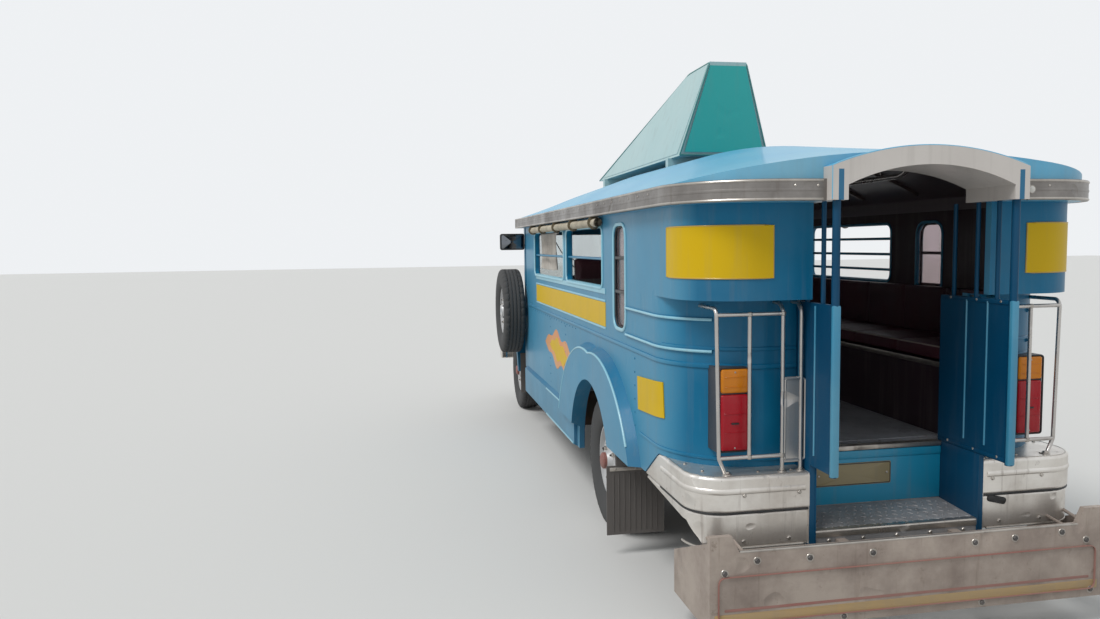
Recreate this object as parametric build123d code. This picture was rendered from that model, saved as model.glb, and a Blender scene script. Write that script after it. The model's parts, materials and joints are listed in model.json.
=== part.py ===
"""Long-bodied passenger jeepney with a steel body and an open rear entry.

The vehicle faces +X, its left side is +Y and +Z is up. The origin is on the
ground under the middle of the vehicle. Lengths are millimetres. Distances
along the vehicle are given from the rear face of the body by `along`.
"""

import os
from math import cos, radians, sin

from build123d import *

# Overall
wing_behind = 150  # the entry posts stand this far behind the body's rear face
post_radius = 15
arch_behind = 30  # the arch over the entry stands this far behind the posts
seat_gap = 0.3  # between curved or moving neighbours

# Wheels and axles
tyre_diameter = 740
tyre_width = 185
rim_diameter = 410
rear_axle_at = 1550
front_axle_at = 5100
rear_wheel_y = 748
front_wheel_y = 730
kingpin_y = 620
kingpin_radius = 16
spindle_radius = 24
steer_half_height = 34
spare_at = 4350
spare_z = 1020

# Body shell
body_half = 875
wall = 35
wall_inner = body_half - wall
spare_y = body_half + tyre_width / 2 + 20.5
corner_radius = 250
rear_step_z = 1375  # below it the rear of the body steps inward
lower_rear_at = 130
lower_corner_radius = 350
step_shelf = 12
skirt_z = 560
ledge_out = 22
rocker_z = 330
rocker_top_z = 540
sill_z = 1367
head_z = 1690
eave_z = 1750
body_front_at = 4090
arch_radius = 470
arch_centre_z = 365
flare_depth = 55
flare_half_length = 900
flare_top_z = 1020
flare_low_z = 470
bead_radius = 9
bead_heights = (1160, 1290)

# Roof
roof_front_at = 4380
roof_rear_over = 110
roof_side_over = 25
roof_skin = 40
band_height = 80
band_thick = 25
arch_crown_z = 1950

# Entry
entry_half = 374
wing_thick = 24
well_depth = 270
floor_z = 720
floor_thick = 30
aisle_half = 395  # raised tread plate between the benches
aisle_start = 330
aisle_end = 2930
aisle_thick = 4
step_z = 468
step_front_z = 450
step_front_at = 15
step_thick = 25
apron_low_z = 392
wing_top_z = 1362

# Front end
cowl_at = body_front_at
cowl_depth = 110
scuttle_z = 1250
hood_front_at = 5520
hood_half_rear = 560
hood_half_front = 430
hood_side_z = 1000
grille_thick = 60
bumper_reach = 310  # from the grille's back to the front bumper's face
bumper_front_at = hood_front_at + bumper_reach
overall_length = bumper_front_at + wing_behind + arch_behind
rear_x = wing_behind + arch_behind - overall_length / 2
tow_eye_y = 380
tow_eye_z = 370
tow_eye_radius = 14
tow_eye_length = 16
plate_hole_radius = 3
plate_hole_spacing = 240
plate_z = 588

# Chassis
rail_y = 380
rail_width = 70
rail_height = 130
rail_z = 480
rail_rear_at = 300
rail_front_at = bumper_front_at - 190
member_at = (300, 950, 2050, 2800, 3500, rail_front_at - 80)
bolster_at = (640, 1000, 2060, 2900, 3700, 4110)
bolster_width = 60

left = 1
right = -1


def along(distance):
    """X of a point at this distance in front of the body's rear face."""
    return rear_x + distance


def block(x, y, z):
    """Box between the two ends of each of three ranges."""
    size = [abs(r[1] - r[0]) for r in (x, y, z)]
    middle = [(r[0] + r[1]) / 2 for r in (x, y, z)]
    return Pos(*middle) * Box(*size)


def rod(start, end, radius):
    """Round bar from one point to another."""
    line = Line(start, end)
    return sweep(Plane(line @ 0, z_dir=line % 0) * Circle(radius), path=line)


def bent_rod(points, radius, bend):
    """Round bar along straight runs joined by arcs of one radius."""
    path = FilletPolyline(*points, radius=bend)
    return sweep(Plane(path @ 0, z_dir=path % 0) * Circle(radius), path=path)


def drum(x, y, z, radius, width):
    """Cylinder along Y, centred on a point."""
    return Pos(x, y, z) * Rot(90, 0, 0) * Cylinder(radius, width)


def side_plate(points, y):
    """Outline of X and Z points as a plate between two Y values."""
    face = make_face(Polyline(*[(px, 0, pz) for px, pz in points], close=True))
    return Pos(0, y[0], 0) * extrude(face, amount=y[1] - y[0], dir=(0, 1, 0))


def cross_plate(points, x):
    """Outline of Y and Z points as a plate between two X values."""
    face = make_face(Polyline(*[(0, py, pz) for py, pz in points], close=True))
    return Pos(x[0], 0, 0) * extrude(face, amount=x[1] - x[0], dir=(1, 0, 0))


def both(solid):
    """A left-hand piece with its mirror image on the right."""
    return [solid, mirror(solid, about=Plane.XZ)]


def union(*parts):
    """All pieces joined in one."""
    flat = [p for group in parts for p in (group if isinstance(group, list) else [group])]
    total = flat[0]
    for piece in flat[1:]:
        total = total + piece
    return total


nodes = {}


def keep(name, *parts):
    """Record a node, made of one or more solids that don't touch."""
    flat = [p for group in parts for p in (group if isinstance(group, list) else [group])]
    solids = [s for p in flat for s in p.solids()]
    nodes[name] = solids[0] if len(solids) == 1 else Compound(children=solids)


# Wheels


def tyre(x, y, z):
    """Tyre with flat tread, round shoulders and bulged sidewalls."""
    r_in = rim_diameter / 2
    r_out = tyre_diameter / 2
    half = tyre_width / 2
    shoulder = 24
    profile = Polyline(
        (half - 30, r_in),
        (half - 6, r_in + 40),
        (half, r_in + 85),
        (half - 6, r_out - shoulder),
        (half - shoulder - 6, r_out),
        (-half + shoulder + 6, r_out),
        (-half + 6, r_out - shoulder),
        (-half, r_in + 85),
        (-half + 6, r_in + 40),
        (-half + 30, r_in),
        close=True,
    )
    ring = revolve(make_face(profile), axis=Axis.X)
    return Pos(x, y, z) * Rot(0, 0, 90) * ring


def rim(x, y, z, side, bore=spindle_radius + seat_gap):
    """Steel rim: barrel, dished disc with hand holes, and a hub boss."""
    half = tyre_width / 2 - 30
    r_out = rim_diameter / 2
    barrel = 9
    disc_y = 20
    section = Polyline(
        (-half, r_out),
        (-half, r_out - barrel),
        (disc_y - 8, r_out - barrel),
        (disc_y + 22, 130),
        (disc_y + 22, 95),
        (disc_y - 2, 80),
        (disc_y - 2, bore),
        (disc_y + 60, bore),
        (disc_y + 60, 52),
        (disc_y + 30, 62),
        (disc_y + 34, 136),
        (disc_y + 10, r_out - barrel),
        (half, r_out - barrel),
        (half, r_out),
        close=True,
    )
    body = revolve(make_face(section), axis=Axis.X)
    holes = [
        Rot(60 * i, 0, 0) * Pos(disc_y + 10, 0, 158) * Rot(0, 90, 0) * Cylinder(17, 90)
        for i in range(6)
    ]
    for hole in holes:
        body = body - hole
    return Pos(x, y, z) * Rot(0, 0, 90 * side) * body


def knuckle(side):
    """Steering knuckle: a fork on the kingpin and the wheel's spindle."""
    x = along(front_axle_at)
    z = tyre_diameter / 2
    arm = 16
    low = z - steer_half_height - seat_gap - arm
    high = z + steer_half_height + seat_gap
    web_y = kingpin_y + 38
    parts = [
        block((x - 26, x + 26), (kingpin_y - 24, web_y + 14), (base, base + arm))
        for base in (low, high)
    ]
    parts.append(block((x - 26, x + 26), (web_y, web_y + 14), (low, high + arm)))
    parts.append(drum(x, (web_y + front_wheel_y + 78) / 2 + 4, z, spindle_radius, front_wheel_y + 70 - web_y))
    body = union(*parts)
    body = body - Pos(x, kingpin_y, z) * Cylinder(kingpin_radius + seat_gap, 200)
    return body if side == left else mirror(body, about=Plane.XZ)


wheel_z = tyre_diameter / 2
wheel_table = (
    # name, distance along, Y, side
    ("front_left", front_axle_at, front_wheel_y, left),
    ("front_right", front_axle_at, front_wheel_y, right),
    ("rear_left", rear_axle_at, rear_wheel_y, left),
    ("rear_right", rear_axle_at, rear_wheel_y, right),
)
for name, at, wheel_y, side in wheel_table:
    keep("tyre_" + name, tyre(along(at), side * wheel_y, wheel_z))
    keep("rim_" + name, rim(along(at), side * wheel_y, wheel_z, side))
keep("knuckle_left", knuckle(left))
keep("knuckle_right", knuckle(right))

# Chassis


def chassis_frame():
    """Two channel rails, cross members and body bolsters."""
    rails = []
    for side in (left, right):
        outer = side * (rail_y + rail_width / 2)
        inner = side * (rail_y - rail_width / 2)
        x_range = (along(rail_rear_at), along(rail_front_at))
        rail = block(x_range, sorted((outer, inner)), (rail_z, rail_z + rail_height))
        web = 8
        hollow = block(x_range, sorted((outer - side * web, inner - side * 1)), (rail_z + web, rail_z + rail_height - web))
        rails.append(rail - hollow)
    inner_y = rail_y + rail_width / 2 - 8
    members = [
        block((along(at), along(at) + 70), (-inner_y, inner_y), (rail_z + rail_height - 60, rail_z + rail_height - 10))
        for at in member_at
    ]
    reach = body_half - wall - seat_gap
    top = floor_z - floor_thick
    bolsters = [
        block((along(at), along(at) + bolster_width), (-reach, reach), (rail_z + rail_height, top))
        for at in bolster_at
    ]
    return union(rails, members, bolsters)


def leaf_pack(at, axle_top):
    """A bowed pack of leaves with its shackle and hanger."""
    leaves = []
    table = (
        # half length, thickness, drop below the top leaf
        (520, 9, 0),
        (400, 9, 9),
        (280, 9, 18),
    )
    width = 56
    x = along(at)
    for half, thick, drop in table:
        z = axle_top + 18 - drop
        leaves.append(block((x - half, x + half), (rail_y - width / 2, rail_y + width / 2), (z, z + thick)))
    hangers = [
        block((x + end - 14, x + end + 14), (rail_y - width / 2, rail_y + width / 2), (axle_top + 20, rail_z))
        for end in (-500, 500)
    ]
    return union(leaves, hangers)


rear_axle_top = wheel_z + 48
front_axle_top = wheel_z + 40
keep("chassis_frame", chassis_frame())
keep(
    "leaf_springs",
    both(leaf_pack(rear_axle_at, rear_axle_top)),
    both(leaf_pack(front_axle_at, front_axle_top)),
)


def rear_axle():
    """Live axle: tube, differential housing, drums and stub shafts."""
    x = along(rear_axle_at)
    tube = drum(x, 0, wheel_z, 48, 2 * 600)
    housing = Pos(x, 0, wheel_z) * Rot(90, 0, 0) * Sphere(150)
    nose = Pos(x + 150, 0, wheel_z) * Rot(0, 90, 0) * Cone(95, 55, 120)
    drums = both(drum(x, 625, wheel_z, 120, 60))
    shafts = both(drum(x, (640 + rear_wheel_y + 80) / 2, wheel_z, spindle_radius, rear_wheel_y + 80 - 640))
    return union(tube, housing, nose, drums, shafts)


def front_axle():
    """Dropped beam with an eye and a kingpin at each end."""
    x = along(front_axle_at)
    half = steer_half_height
    beam = block((x - 32, x + 32), (-500, 500), (wheel_z - 40, front_axle_top))
    ends = []
    for side in (left, right):
        arm = block((x - 26, x + 26), sorted((side * 500, side * (kingpin_y - 20))), (wheel_z - half, wheel_z + half))
        eye = Pos(x, side * kingpin_y, wheel_z) * Cylinder(30, 2 * half)
        pin = Pos(x, side * kingpin_y, wheel_z) * Cylinder(kingpin_radius, 2 * half + 50)
        ends.append(union(arm, eye, pin))
    return union(beam, ends)


keep("rear_axle", rear_axle())
keep("front_axle", front_axle())

# Drive train
engine_rear_at = 4300
engine_front_at = 5200
gearbox_rear_at = 3780
shaft_z = 520
engine = union(
    block((along(engine_rear_at), along(engine_front_at)), (-230, 230), (600, 1060)),
    block((along(gearbox_rear_at), along(engine_rear_at)), (-140, 140), (465, rail_z + rail_height - 5)),
)
engine_pan = block((along(engine_rear_at) + 60, along(engine_front_at) - 60), (-150, 150), (500, 600))
engine_feet = both(
    block((along(4800), along(4900)), (230, rail_y - rail_width / 2 + 20), (610, 650))
)
keep("engine_block", union(engine, engine_pan, engine_feet))

shaft_start = (along(rear_axle_at) + 210, 0, wheel_z)
shaft_end = (along(gearbox_rear_at), 0, shaft_z)
shaft = rod(shaft_start, shaft_end, 38)
keep("propeller_shaft", shaft - nodes["engine_block"] - nodes["rear_axle"])

# Exhaust on the right, tank on the left, both below the floor
exhaust_y = -230
exhaust = union(
    rod((along(4250), exhaust_y, 440), (along(2950), exhaust_y, 440), 25),
    rod((along(3000), exhaust_y, 440), (along(2300), exhaust_y, 440), 75),
    bent_rod(
        ((along(2350), exhaust_y, 440), (along(2020), exhaust_y, 440), (along(1800), exhaust_y, 560), (along(1300), exhaust_y, 560), (along(1080), exhaust_y, 400), (along(60), exhaust_y, 370)),
        25,
        120,
    ),
    block((along(2810), along(2850)), (exhaust_y - 8, exhaust_y + 8), (500, rail_z + rail_height - 60)),
    block((along(960), along(1000)), (exhaust_y - 8, exhaust_y + 8), (385, rail_z + rail_height - 60)),
)
keep("exhaust", exhaust)
tank = block((along(2350), along(2850)), (rail_y + rail_width / 2 + seat_gap, wall_inner - 40), (400, 600))
tank = fillet(tank.edges().filter_by(Axis.X), 40)
straps = [block((along(at), along(at) + 30), (rail_y + 120, rail_y + 160), (599, floor_z - floor_thick)) for at in (2420, 2740)]
keep("fuel_tank", union(tank, straps))

# Body shell

bumper_low = 400
bumper_seam = 545
bumper_top = 690
bumper_rear_at = 5
bumper_half = body_half - 5
bumper_radius = 150
bumper_skin = 30
bumper_edge = 14
wrap_top_at = 430
wrap_end_at = 620


def plan(half, rear, front, radius):
    """Plan outline with rounded rear corners, as a face at Z 0."""
    face = Pos((rear + front) / 2, 0, 0) * Rectangle(front - rear, 2 * half)
    corners = face.vertices().filter_by_position(Axis.X, rear - 1, rear + 1)
    return fillet(corners, radius)


def opening_cut(start, end, low, high, side, radius=60):
    """Rounded window opening through one side wall."""
    x = along((start + end) / 2)
    outline = RectangleRounded(end - start, high - low, radius)
    cutter = extrude(outline, amount=160, both=True)
    return Pos(x, side * body_half, (low + high) / 2) * Rot(90, 0, 0) * cutter


left_windows = (
    # start, end, low, high, corner radius
    (940, 1150, 1180, head_z, 70),
    (1400, 2360, sill_z, head_z, 50),
    (2460, 3620, sill_z, head_z, 50),
)
right_windows = (
    (940, 1150, 1180, head_z, 70),
    (1400, 2360, sill_z, head_z, 50),
    (2460, 2980, sill_z, head_z, 50),
)
door_start = 3090
door_end = 3960
door_low = 430


def flare(side):
    """Bulged fender over the rear wheel, standing out from the side."""
    x = along(rear_axle_at)
    low = flare_low_z
    crown = ThreePointArc(
        (x - flare_half_length, 0, low),
        (x - 0.72 * flare_half_length, 0, low + 0.68 * (flare_top_z - low)),
        (x, 0, flare_top_z),
    )
    nose = ThreePointArc(
        (x, 0, flare_top_z),
        (x + 0.72 * flare_half_length, 0, low + 0.68 * (flare_top_z - low)),
        (x + flare_half_length, 0, low),
    )
    base = Line((x + flare_half_length, 0, low), (x - flare_half_length, 0, low))
    face = make_face([crown, nose, base])
    bulge = extrude(face, amount=flare_depth, dir=(0, 1, 0), taper=28)
    bulge = Pos(0, body_half, 0) * bulge
    return bulge if side == left else mirror(bulge, about=Plane.XZ)


def corner_beads(side):
    """Two pressed beads that wrap the lower rear corner."""
    beads = []
    radius = lower_corner_radius
    centre = (along(lower_rear_at + radius), side * (body_half - radius))
    for z in bead_heights:
        start = (along(920), side * body_half, z)
        turn = (along(lower_rear_at + radius), side * body_half, z)
        points = [
            (centre[0] - radius * sin(radians(angle)), centre[1] + side * radius * cos(radians(angle)), z)
            for angle in (28, 56)
        ]
        path = Wire([Line(start, turn), ThreePointArc(turn, *points)])
        beads.append(sweep(Plane(path @ 0, z_dir=path % 0) * Circle(bead_radius), path=path))
    return beads


def shell_ring(rear, radius, low, high):
    """Wall of the body between two heights, with rounded rear corners."""
    outer = extrude(plan(body_half, along(rear), along(body_front_at), radius), amount=high - low)
    inner = extrude(plan(wall_inner, along(rear + wall), along(body_front_at + 200), radius - wall), amount=high - low)
    return Pos(0, 0, low) * (outer - inner)


def lower_body_clear(gap):
    """The lower body's outline grown by a gap, as a tall solid."""
    face = plan(body_half + gap, along(lower_rear_at - gap), along(body_front_at), lower_corner_radius + gap)
    return extrude(face, amount=2600)


def cabin_clear(gap):
    """The space inside the lower body's wall, less a gap, as a tall solid."""
    inset = wall + gap
    face = plan(body_half - inset, along(lower_rear_at + inset), along(body_front_at + 300), lower_corner_radius - inset)
    return extrude(face, amount=2600)


def bumper_recess(drop):
    """Tall side outline of what the wrapped bumper takes from the body, and the open skirt ahead of it."""
    points = (
        (-60, 200),
        (-60, bumper_top - drop),
        (wrap_top_at, bumper_top - drop),
        (wrap_end_at, skirt_z - drop),
        (rear_axle_at - arch_radius + 45, skirt_z - drop),
        (rear_axle_at - arch_radius + 45, 200),
    )
    return side_plate([(along(at), z) for at, z in points], (-1100, 1100))


def sill_ledge(side):
    """Bevelled ledge along the bottom of the side, ahead of the rear wheel."""
    end = body_front_at if side == left else door_start
    section = (
        (body_half - 1, rocker_top_z + ledge_out),
        (body_half + ledge_out, rocker_top_z),
        (body_half + ledge_out, rocker_z + 12),
        (body_half - 1, rocker_z),
    )
    outline = [(side * y, z) for y, z in section]
    return cross_plate(outline, (along(rear_axle_at + arch_radius + 60), along(end)))


def body_side(side):
    """One half of the body shell, with its windows, wheel arch and fender."""
    y_range = (0, body_half + 200) if side == left else (-body_half - 200, 0)
    lower = shell_ring(lower_rear_at, lower_corner_radius, rocker_z, rear_step_z)
    upper = shell_ring(0, corner_radius, rear_step_z, eave_z)
    shelf = plan(body_half, along(0), along(800), corner_radius) - plan(
        wall_inner, along(lower_rear_at + wall), along(900), lower_corner_radius - wall
    )
    shell = union(lower, upper, Pos(0, 0, rear_step_z) * extrude(shelf, amount=step_shelf))
    half = block((along(-10), along(body_front_at + 10)), y_range, (rocker_z, eave_z))
    shell = shell & half
    clear = entry_half + wing_thick / 2
    shell = shell - block((along(-20), along(lower_rear_at + wall + 20)), (-clear, clear), (rocker_z - 1, eave_z + 1))
    shell = union(shell, flare(side), sill_ledge(side)) - bumper_recess(0)
    x = along(rear_axle_at)
    shell = shell - drum(x, side * body_half, arch_centre_z, arch_radius, 400)
    table = left_windows if side == left else right_windows
    for start, end, low, high, radius in table:
        shell = shell - opening_cut(start, end, low, high, side, radius)
    if side == right:
        shell = shell - opening_cut(door_start, door_end, door_low, head_z, side, 50)
    return union(shell, corner_beads(side))


keep("body_side_left", body_side(left))
keep("body_side_right", body_side(right))


def floor_deck():
    """Floor with a boxed housing over each rear wheel."""
    top = floor_z
    reach = body_half - wall - seat_gap
    deck = block((along(lower_rear_at), along(cowl_at)), (-reach, reach), (top - floor_thick, top))
    clear = entry_half + wing_thick / 2
    deck = deck - block((along(0), along(well_depth)), (-clear, clear), (0, top + 1))
    deck = deck & cabin_clear(seat_gap)
    housings = []
    wheel_x = along(rear_axle_at)
    half = arch_radius
    inner_y = 600
    box_top = 900
    skin = 15
    for side in (left, right):
        deck = deck - block((wheel_x - half, wheel_x + half), sorted((side * inner_y, side * (reach + 1))), (top - 100, top + 1))
        shell = block((wheel_x - half, wheel_x + half), sorted((side * inner_y, side * reach)), (top - floor_thick, box_top))
        hollow = block((wheel_x - half + skin, wheel_x + half - skin), sorted((side * (inner_y + skin), side * (reach + 1))), (top - floor_thick - 1, box_top - skin))
        housings.append(shell - hollow)
    aisle = block((along(aisle_start), along(aisle_end)), (-aisle_half, aisle_half), (top - 1, top + aisle_thick))
    return union(deck, housings, aisle)


keep("floor_deck", floor_deck())

# Entry: riser, step, well sides, wings and posts


def entry_step():
    """Riser plate below the floor, tread plate and the two well sides."""
    clear = entry_half - wing_thick / 2
    riser = block((along(well_depth) - 20, along(well_depth)), (-clear, clear), (step_z - step_thick, floor_z))
    for y in (-plate_hole_spacing / 2, plate_hole_spacing / 2):
        hole = Pos(along(well_depth), y, plate_z) * Rot(0, 90, 0) * Cylinder(plate_hole_radius, 100)
        riser = riser - hole
    section = (
        (step_front_at, step_front_z),
        (well_depth, step_z),
        (well_depth, step_z - step_thick),
        (step_front_at, step_front_z - step_thick),
    )
    tread = side_plate([(along(at), z) for at, z in section], (-clear, clear))
    nose = block((along(bumper_rear_at + 3), along(step_front_at) + 1), (-clear, clear), (apron_low_z, step_front_z))
    return union(riser, tread, nose)


def entry_wing(side):
    """Upright screen beside the entry, with its pipe post and bars."""
    y = side * entry_half
    half = wing_thick / 2
    panel = block((along(-wing_behind), along(well_depth)), (y - half, y + half), (floor_z, wing_top_z))
    well = block((along(bumper_rear_at), along(well_depth)), (y - half, y + half), (apron_low_z, floor_z))
    post = rod((along(-wing_behind), y, floor_z - 8), (along(-wing_behind), y, arch_crown_z - 110), post_radius)
    bars = [
        rod((along(at), y, wing_top_z), (along(at), y, eave_z), 9)
        for at in (-60, 60, 200)
    ]
    return union(panel, well, post, bars)


keep("entry_step", entry_step())
keep("entry_wing_left", entry_wing(left))
keep("entry_wing_right", entry_wing(right))

# Roof

roof_trim = 12  # the lofts run past the plan outline by this much, then are cut to it
roof_sections = (
    # distance along, crown height above the eave
    (-roof_rear_over - roof_trim, 185),
    (1000, 335),
    (2100, 345),
    (3200, 315),
    (roof_front_at + roof_trim, 245),
)


def roof_face(at, half, low, side_top, crown):
    """Closed cross-section of the roof at one station."""
    base = Line((along(at), -half, low), (along(at), half, low))
    right_up = Line((along(at), half, low), (along(at), half, side_top))
    over = ThreePointArc((along(at), half, side_top), (along(at), 0, crown), (along(at), -half, side_top))
    left_down = Line((along(at), -half, side_top), (along(at), -half, low))
    return make_face([base, right_up, over, left_down])


def roof_loft(half, low, side_top, lower):
    """Solid under the roof's skin; lower drops the crown by that much."""
    faces = [roof_face(at, half, low, side_top, eave_z + crown - lower) for at, crown in roof_sections]
    bays = [loft([rear, front], ruled=True) for rear, front in zip(faces, faces[1:])]
    return union(bays)


def entry_arch(width, crown, depth):
    """Arched opening above the entry, from the eave up."""
    base_z = eave_z - 200
    spring_z = crown - 75
    x = along(-wing_behind - 60)
    outline = [
        Line((x, -width, base_z), (x, width, base_z)),
        Line((x, width, base_z), (x, width, spring_z)),
        ThreePointArc((x, width, spring_z), (x, 0, crown), (x, -width, spring_z)),
        Line((x, -width, spring_z), (x, -width, base_z)),
    ]
    return extrude(make_face(outline), amount=depth, dir=(1, 0, 0))


def roof_shell():
    """Domed roof with rounded rear corners, hollow below."""
    half = body_half + roof_side_over
    outer = roof_loft(half + roof_trim, eave_z, eave_z + band_height - 3, 0)
    inner = roof_loft(half - roof_side_over - wall + roof_trim, eave_z - 1, eave_z + band_height - 22, roof_skin)
    rear = along(-roof_rear_over)
    front = along(roof_front_at)
    radius = corner_radius + roof_rear_over
    keep_in = extrude(plan(half, rear, front, radius), amount=2600)
    open_in = extrude(plan(half - roof_side_over - wall, rear + roof_rear_over + wall, front - wall, radius - 60), amount=2600)
    return (outer & keep_in) - (inner & open_in)


roof = roof_shell()
roof_cut = entry_arch(entry_half + 32, arch_crown_z, wing_behind + 60 + 130)
keep("roof_shell", roof - roof_cut)


def rear_arch():
    """Bowed trim over the entry that the posts carry."""
    outer = entry_arch(entry_half + 32 - seat_gap, arch_crown_z - seat_gap, wing_behind + 60 + 100)
    inner = entry_arch(entry_half - 30, arch_crown_z - 70, 2 * wing_behind + 400)
    keep_range = block((along(-wing_behind - arch_behind), along(100)), (-900, 900), (eave_z, 2400))
    arch = (outer - inner) & keep_range
    for side in (left, right):
        arch = arch - rod((along(-wing_behind), side * entry_half, eave_z - 10), (along(-wing_behind), side * entry_half, arch_crown_z - 110), post_radius + seat_gap)
    return arch


keep("rear_arch", rear_arch())


def roof_band():
    """Bright band round the eaves, open at the front and at the entry."""
    half = body_half + roof_side_over
    rear = along(-roof_rear_over)
    front = along(roof_front_at)
    radius = corner_radius + roof_rear_over
    outer = plan(half + band_thick, rear - band_thick, front, radius + band_thick)
    inner = plan(half, rear, front + 10, radius)
    ring = Pos(0, 0, eave_z) * extrude(outer - inner, amount=band_height)
    clear = entry_half + 32
    return ring - block((rear - 200, rear + 200), (-clear, clear), (eave_z - 1, eave_z + 200))


keep("roof_band", roof_band())

# Rear bumpers, board and guards


def bumper_tier(low, high, back):
    """One rolled tier that wraps both rear corners, open behind its skin."""
    half = bumper_half - back
    solid = extrude(plan(half, along(bumper_rear_at + back), along(900), bumper_radius - back), amount=high - low)
    edges = solid.edges().group_by(Axis.Z)
    solid = fillet([*edges[0], *edges[-1]], bumper_edge)
    hollow = plan(half - bumper_skin, along(bumper_rear_at + back + bumper_skin), along(1000), bumper_radius - back - bumper_skin)
    return Pos(0, 0, low) * (solid - extrude(hollow, amount=high - low))


def rear_bumper(side):
    """Two-tier wrapped bumper on one side of the entry, with its top plate and bracket."""
    low_tier = bumper_tier(bumper_low, bumper_seam, 6)
    taper = (
        (bumper_rear_at + 25, bumper_low - 20),
        (bumper_rear_at + 55, bumper_low + 40),
        (bumper_rear_at + 110, bumper_low + 98),
        (wrap_end_at + 10, bumper_seam - 12),
        (wrap_end_at + 10, bumper_low - 20),
    )
    low_tier = low_tier - side_plate([(along(at), z) for at, z in taper], (-1000, 1000))
    top_tier = bumper_tier(bumper_seam, bumper_top, 0)
    cover = plan(bumper_half - bumper_edge, along(bumper_rear_at + bumper_edge), along(900), bumper_radius - bumper_edge) - plan(
        wall_inner - 12, along(lower_rear_at + wall + 12), along(1000), lower_corner_radius - wall - 12
    )
    cover = Pos(0, 0, bumper_top - 6) * extrude(cover, amount=6)
    rail_side = rail_y + rail_width / 2
    bracket = block((along(bumper_rear_at + 20), along(560)), (rail_side, rail_side + 12), (490, 600))
    ring = union(low_tier, top_tier, cover)
    end = entry_half + wing_thick / 2 + seat_gap
    ring = ring & block((along(-100), along(wrap_end_at)), (end, 1000), (200, 900))
    ring = ring - bumper_ahead()
    solid = union(ring, bracket)
    return solid if side == left else mirror(solid, about=Plane.XZ)


def bumper_ahead():
    """What lies above the bumper's sloping end, with a narrow gap below the body."""
    gap = 2
    points = (
        (wrap_top_at - gap, bumper_top + 5),
        (wrap_top_at - gap, bumper_top - gap),
        (wrap_end_at - gap, skirt_z - gap),
        (wrap_end_at + 50, skirt_z - gap),
        (wrap_end_at + 50, bumper_top + 5),
    )
    return side_plate([(along(at), z) for at, z in points], (-1000, 1000))


keep("rear_bumper_left", rear_bumper(left))
keep("rear_bumper_right", rear_bumper(right))


board_at = -90  # its front face
board_thick = 25
board_half = body_half - 25
board_low = 130
board_high = 438
board_ear = 64
stay_radius = 7


def rear_board():
    """Hanging name board with raised ears, side flanges and its stay rods."""
    half = board_half
    ear_top = board_high + board_ear
    outline = (
        (-half, board_low),
        (half, board_low),
        (half, ear_top),
        (half - 88, ear_top),
        (half - 118, board_high),
        (-half + 118, board_high),
        (-half + 88, ear_top),
        (-half, ear_top),
    )
    front = along(board_at)
    board = cross_plate(outline, (front - board_thick, front))
    flange = ((board_at - 1, board_low), (board_at - 1, ear_top - 30), (290, 314), (290, board_low))
    tier = extrude(plan(bumper_half + seat_gap - 6, along(bumper_rear_at + 6 - seat_gap), along(900), bumper_radius - 6), amount=900)
    parts = []
    for side in (left, right):
        y = sorted((side * (half - 6), side * half))
        parts.append(side_plate([(along(at), z) for at, z in flange], y))
        for y, low, high, reach in ((800, 420, 462, 120), (700, 420, 440, 60)):
            stay = rod((front - 5, side * y, low), (along(reach), side * y, high), stay_radius)
            parts.append(stay - tier)
        strap = block((front - 1, along(bumper_rear_at + 3) - seat_gap), sorted((side * 230, side * 270)), (400, 412))
        parts.append(strap)
    return union(board, parts)


keep("rear_board", rear_board())

# Front end


def windscreen_cut(side, margin):
    """One half of the split windscreen's opening, as a Y range and a Z range."""
    y = sorted((side * (25 + margin), side * (body_half - 60 - margin)))
    return y, (scuttle_z + 50 + margin, eave_z - 60 - margin)


def cowl():
    """Cowl, firewall, windscreen surround and the spare wheel's carrier."""
    x0 = along(cowl_at) + seat_gap
    x1 = along(cowl_at + cowl_depth)
    reach = body_half
    low = block((x0, x1), (-reach, reach), (rocker_top_z, scuttle_z))
    low = low - block((x0, x1 - 20), (-reach + wall, reach - wall), (rocker_top_z - 1, scuttle_z - 30))
    low = low - block((x0, x1 + 1), (-reach + wall, reach - wall), (rocker_top_z - 1, floor_z - floor_thick))
    frame = block((x1 - screen_thick, x1), (-reach, reach), (scuttle_z, eave_z - seat_gap))
    for side in (left, right):
        y, z = windscreen_cut(side, 0)
        frame = frame - block((x1 - 100, x1 + 50), y, z)
    header = block((x1 - screen_thick, x1), (-reach, reach), (eave_z - 1, 2400))
    header = header & roof_loft(body_half - wall - 1, eave_z - 2, eave_z + band_height - 20, roof_skin + 1)
    arm = block((x1 - 80, along(spare_at) + 45), (reach, reach + 12), (spare_z - 35, spare_z + 35))
    stub_end = spare_y + 75
    stub = drum(along(spare_at), (reach + stub_end) / 2, spare_z, spindle_radius, stub_end - reach)
    return union(low, frame, header, arm, stub, hood_hinge_pins())


def hood_hinge_pins():
    """Pins and ears on the screen frame that carry the hood."""
    x = along(hood_axis_at)
    parts = []
    for y in hood_hinge_y:
        for end in (-1, 1):
            inner = y + end * (hinge_half + 1)
            ear = block((along(cowl_at + cowl_depth) - 1, x + 6), sorted((inner, inner + end * hinge_ear)), (scuttle_z, hood_axis_z + 6))
            parts.append(ear)
        parts.append(drum(x, y, hood_axis_z, hinge_pin, 2 * (hinge_half + hinge_ear)))
    return parts


screen_thick = 60

def screen_panes():
    """Two flat panes of the split windscreen."""
    x1 = along(cowl_at + cowl_depth)
    return [block((x1 - 35, x1 - 29), *windscreen_cut(side, seat_gap)) for side in (left, right)]


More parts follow.
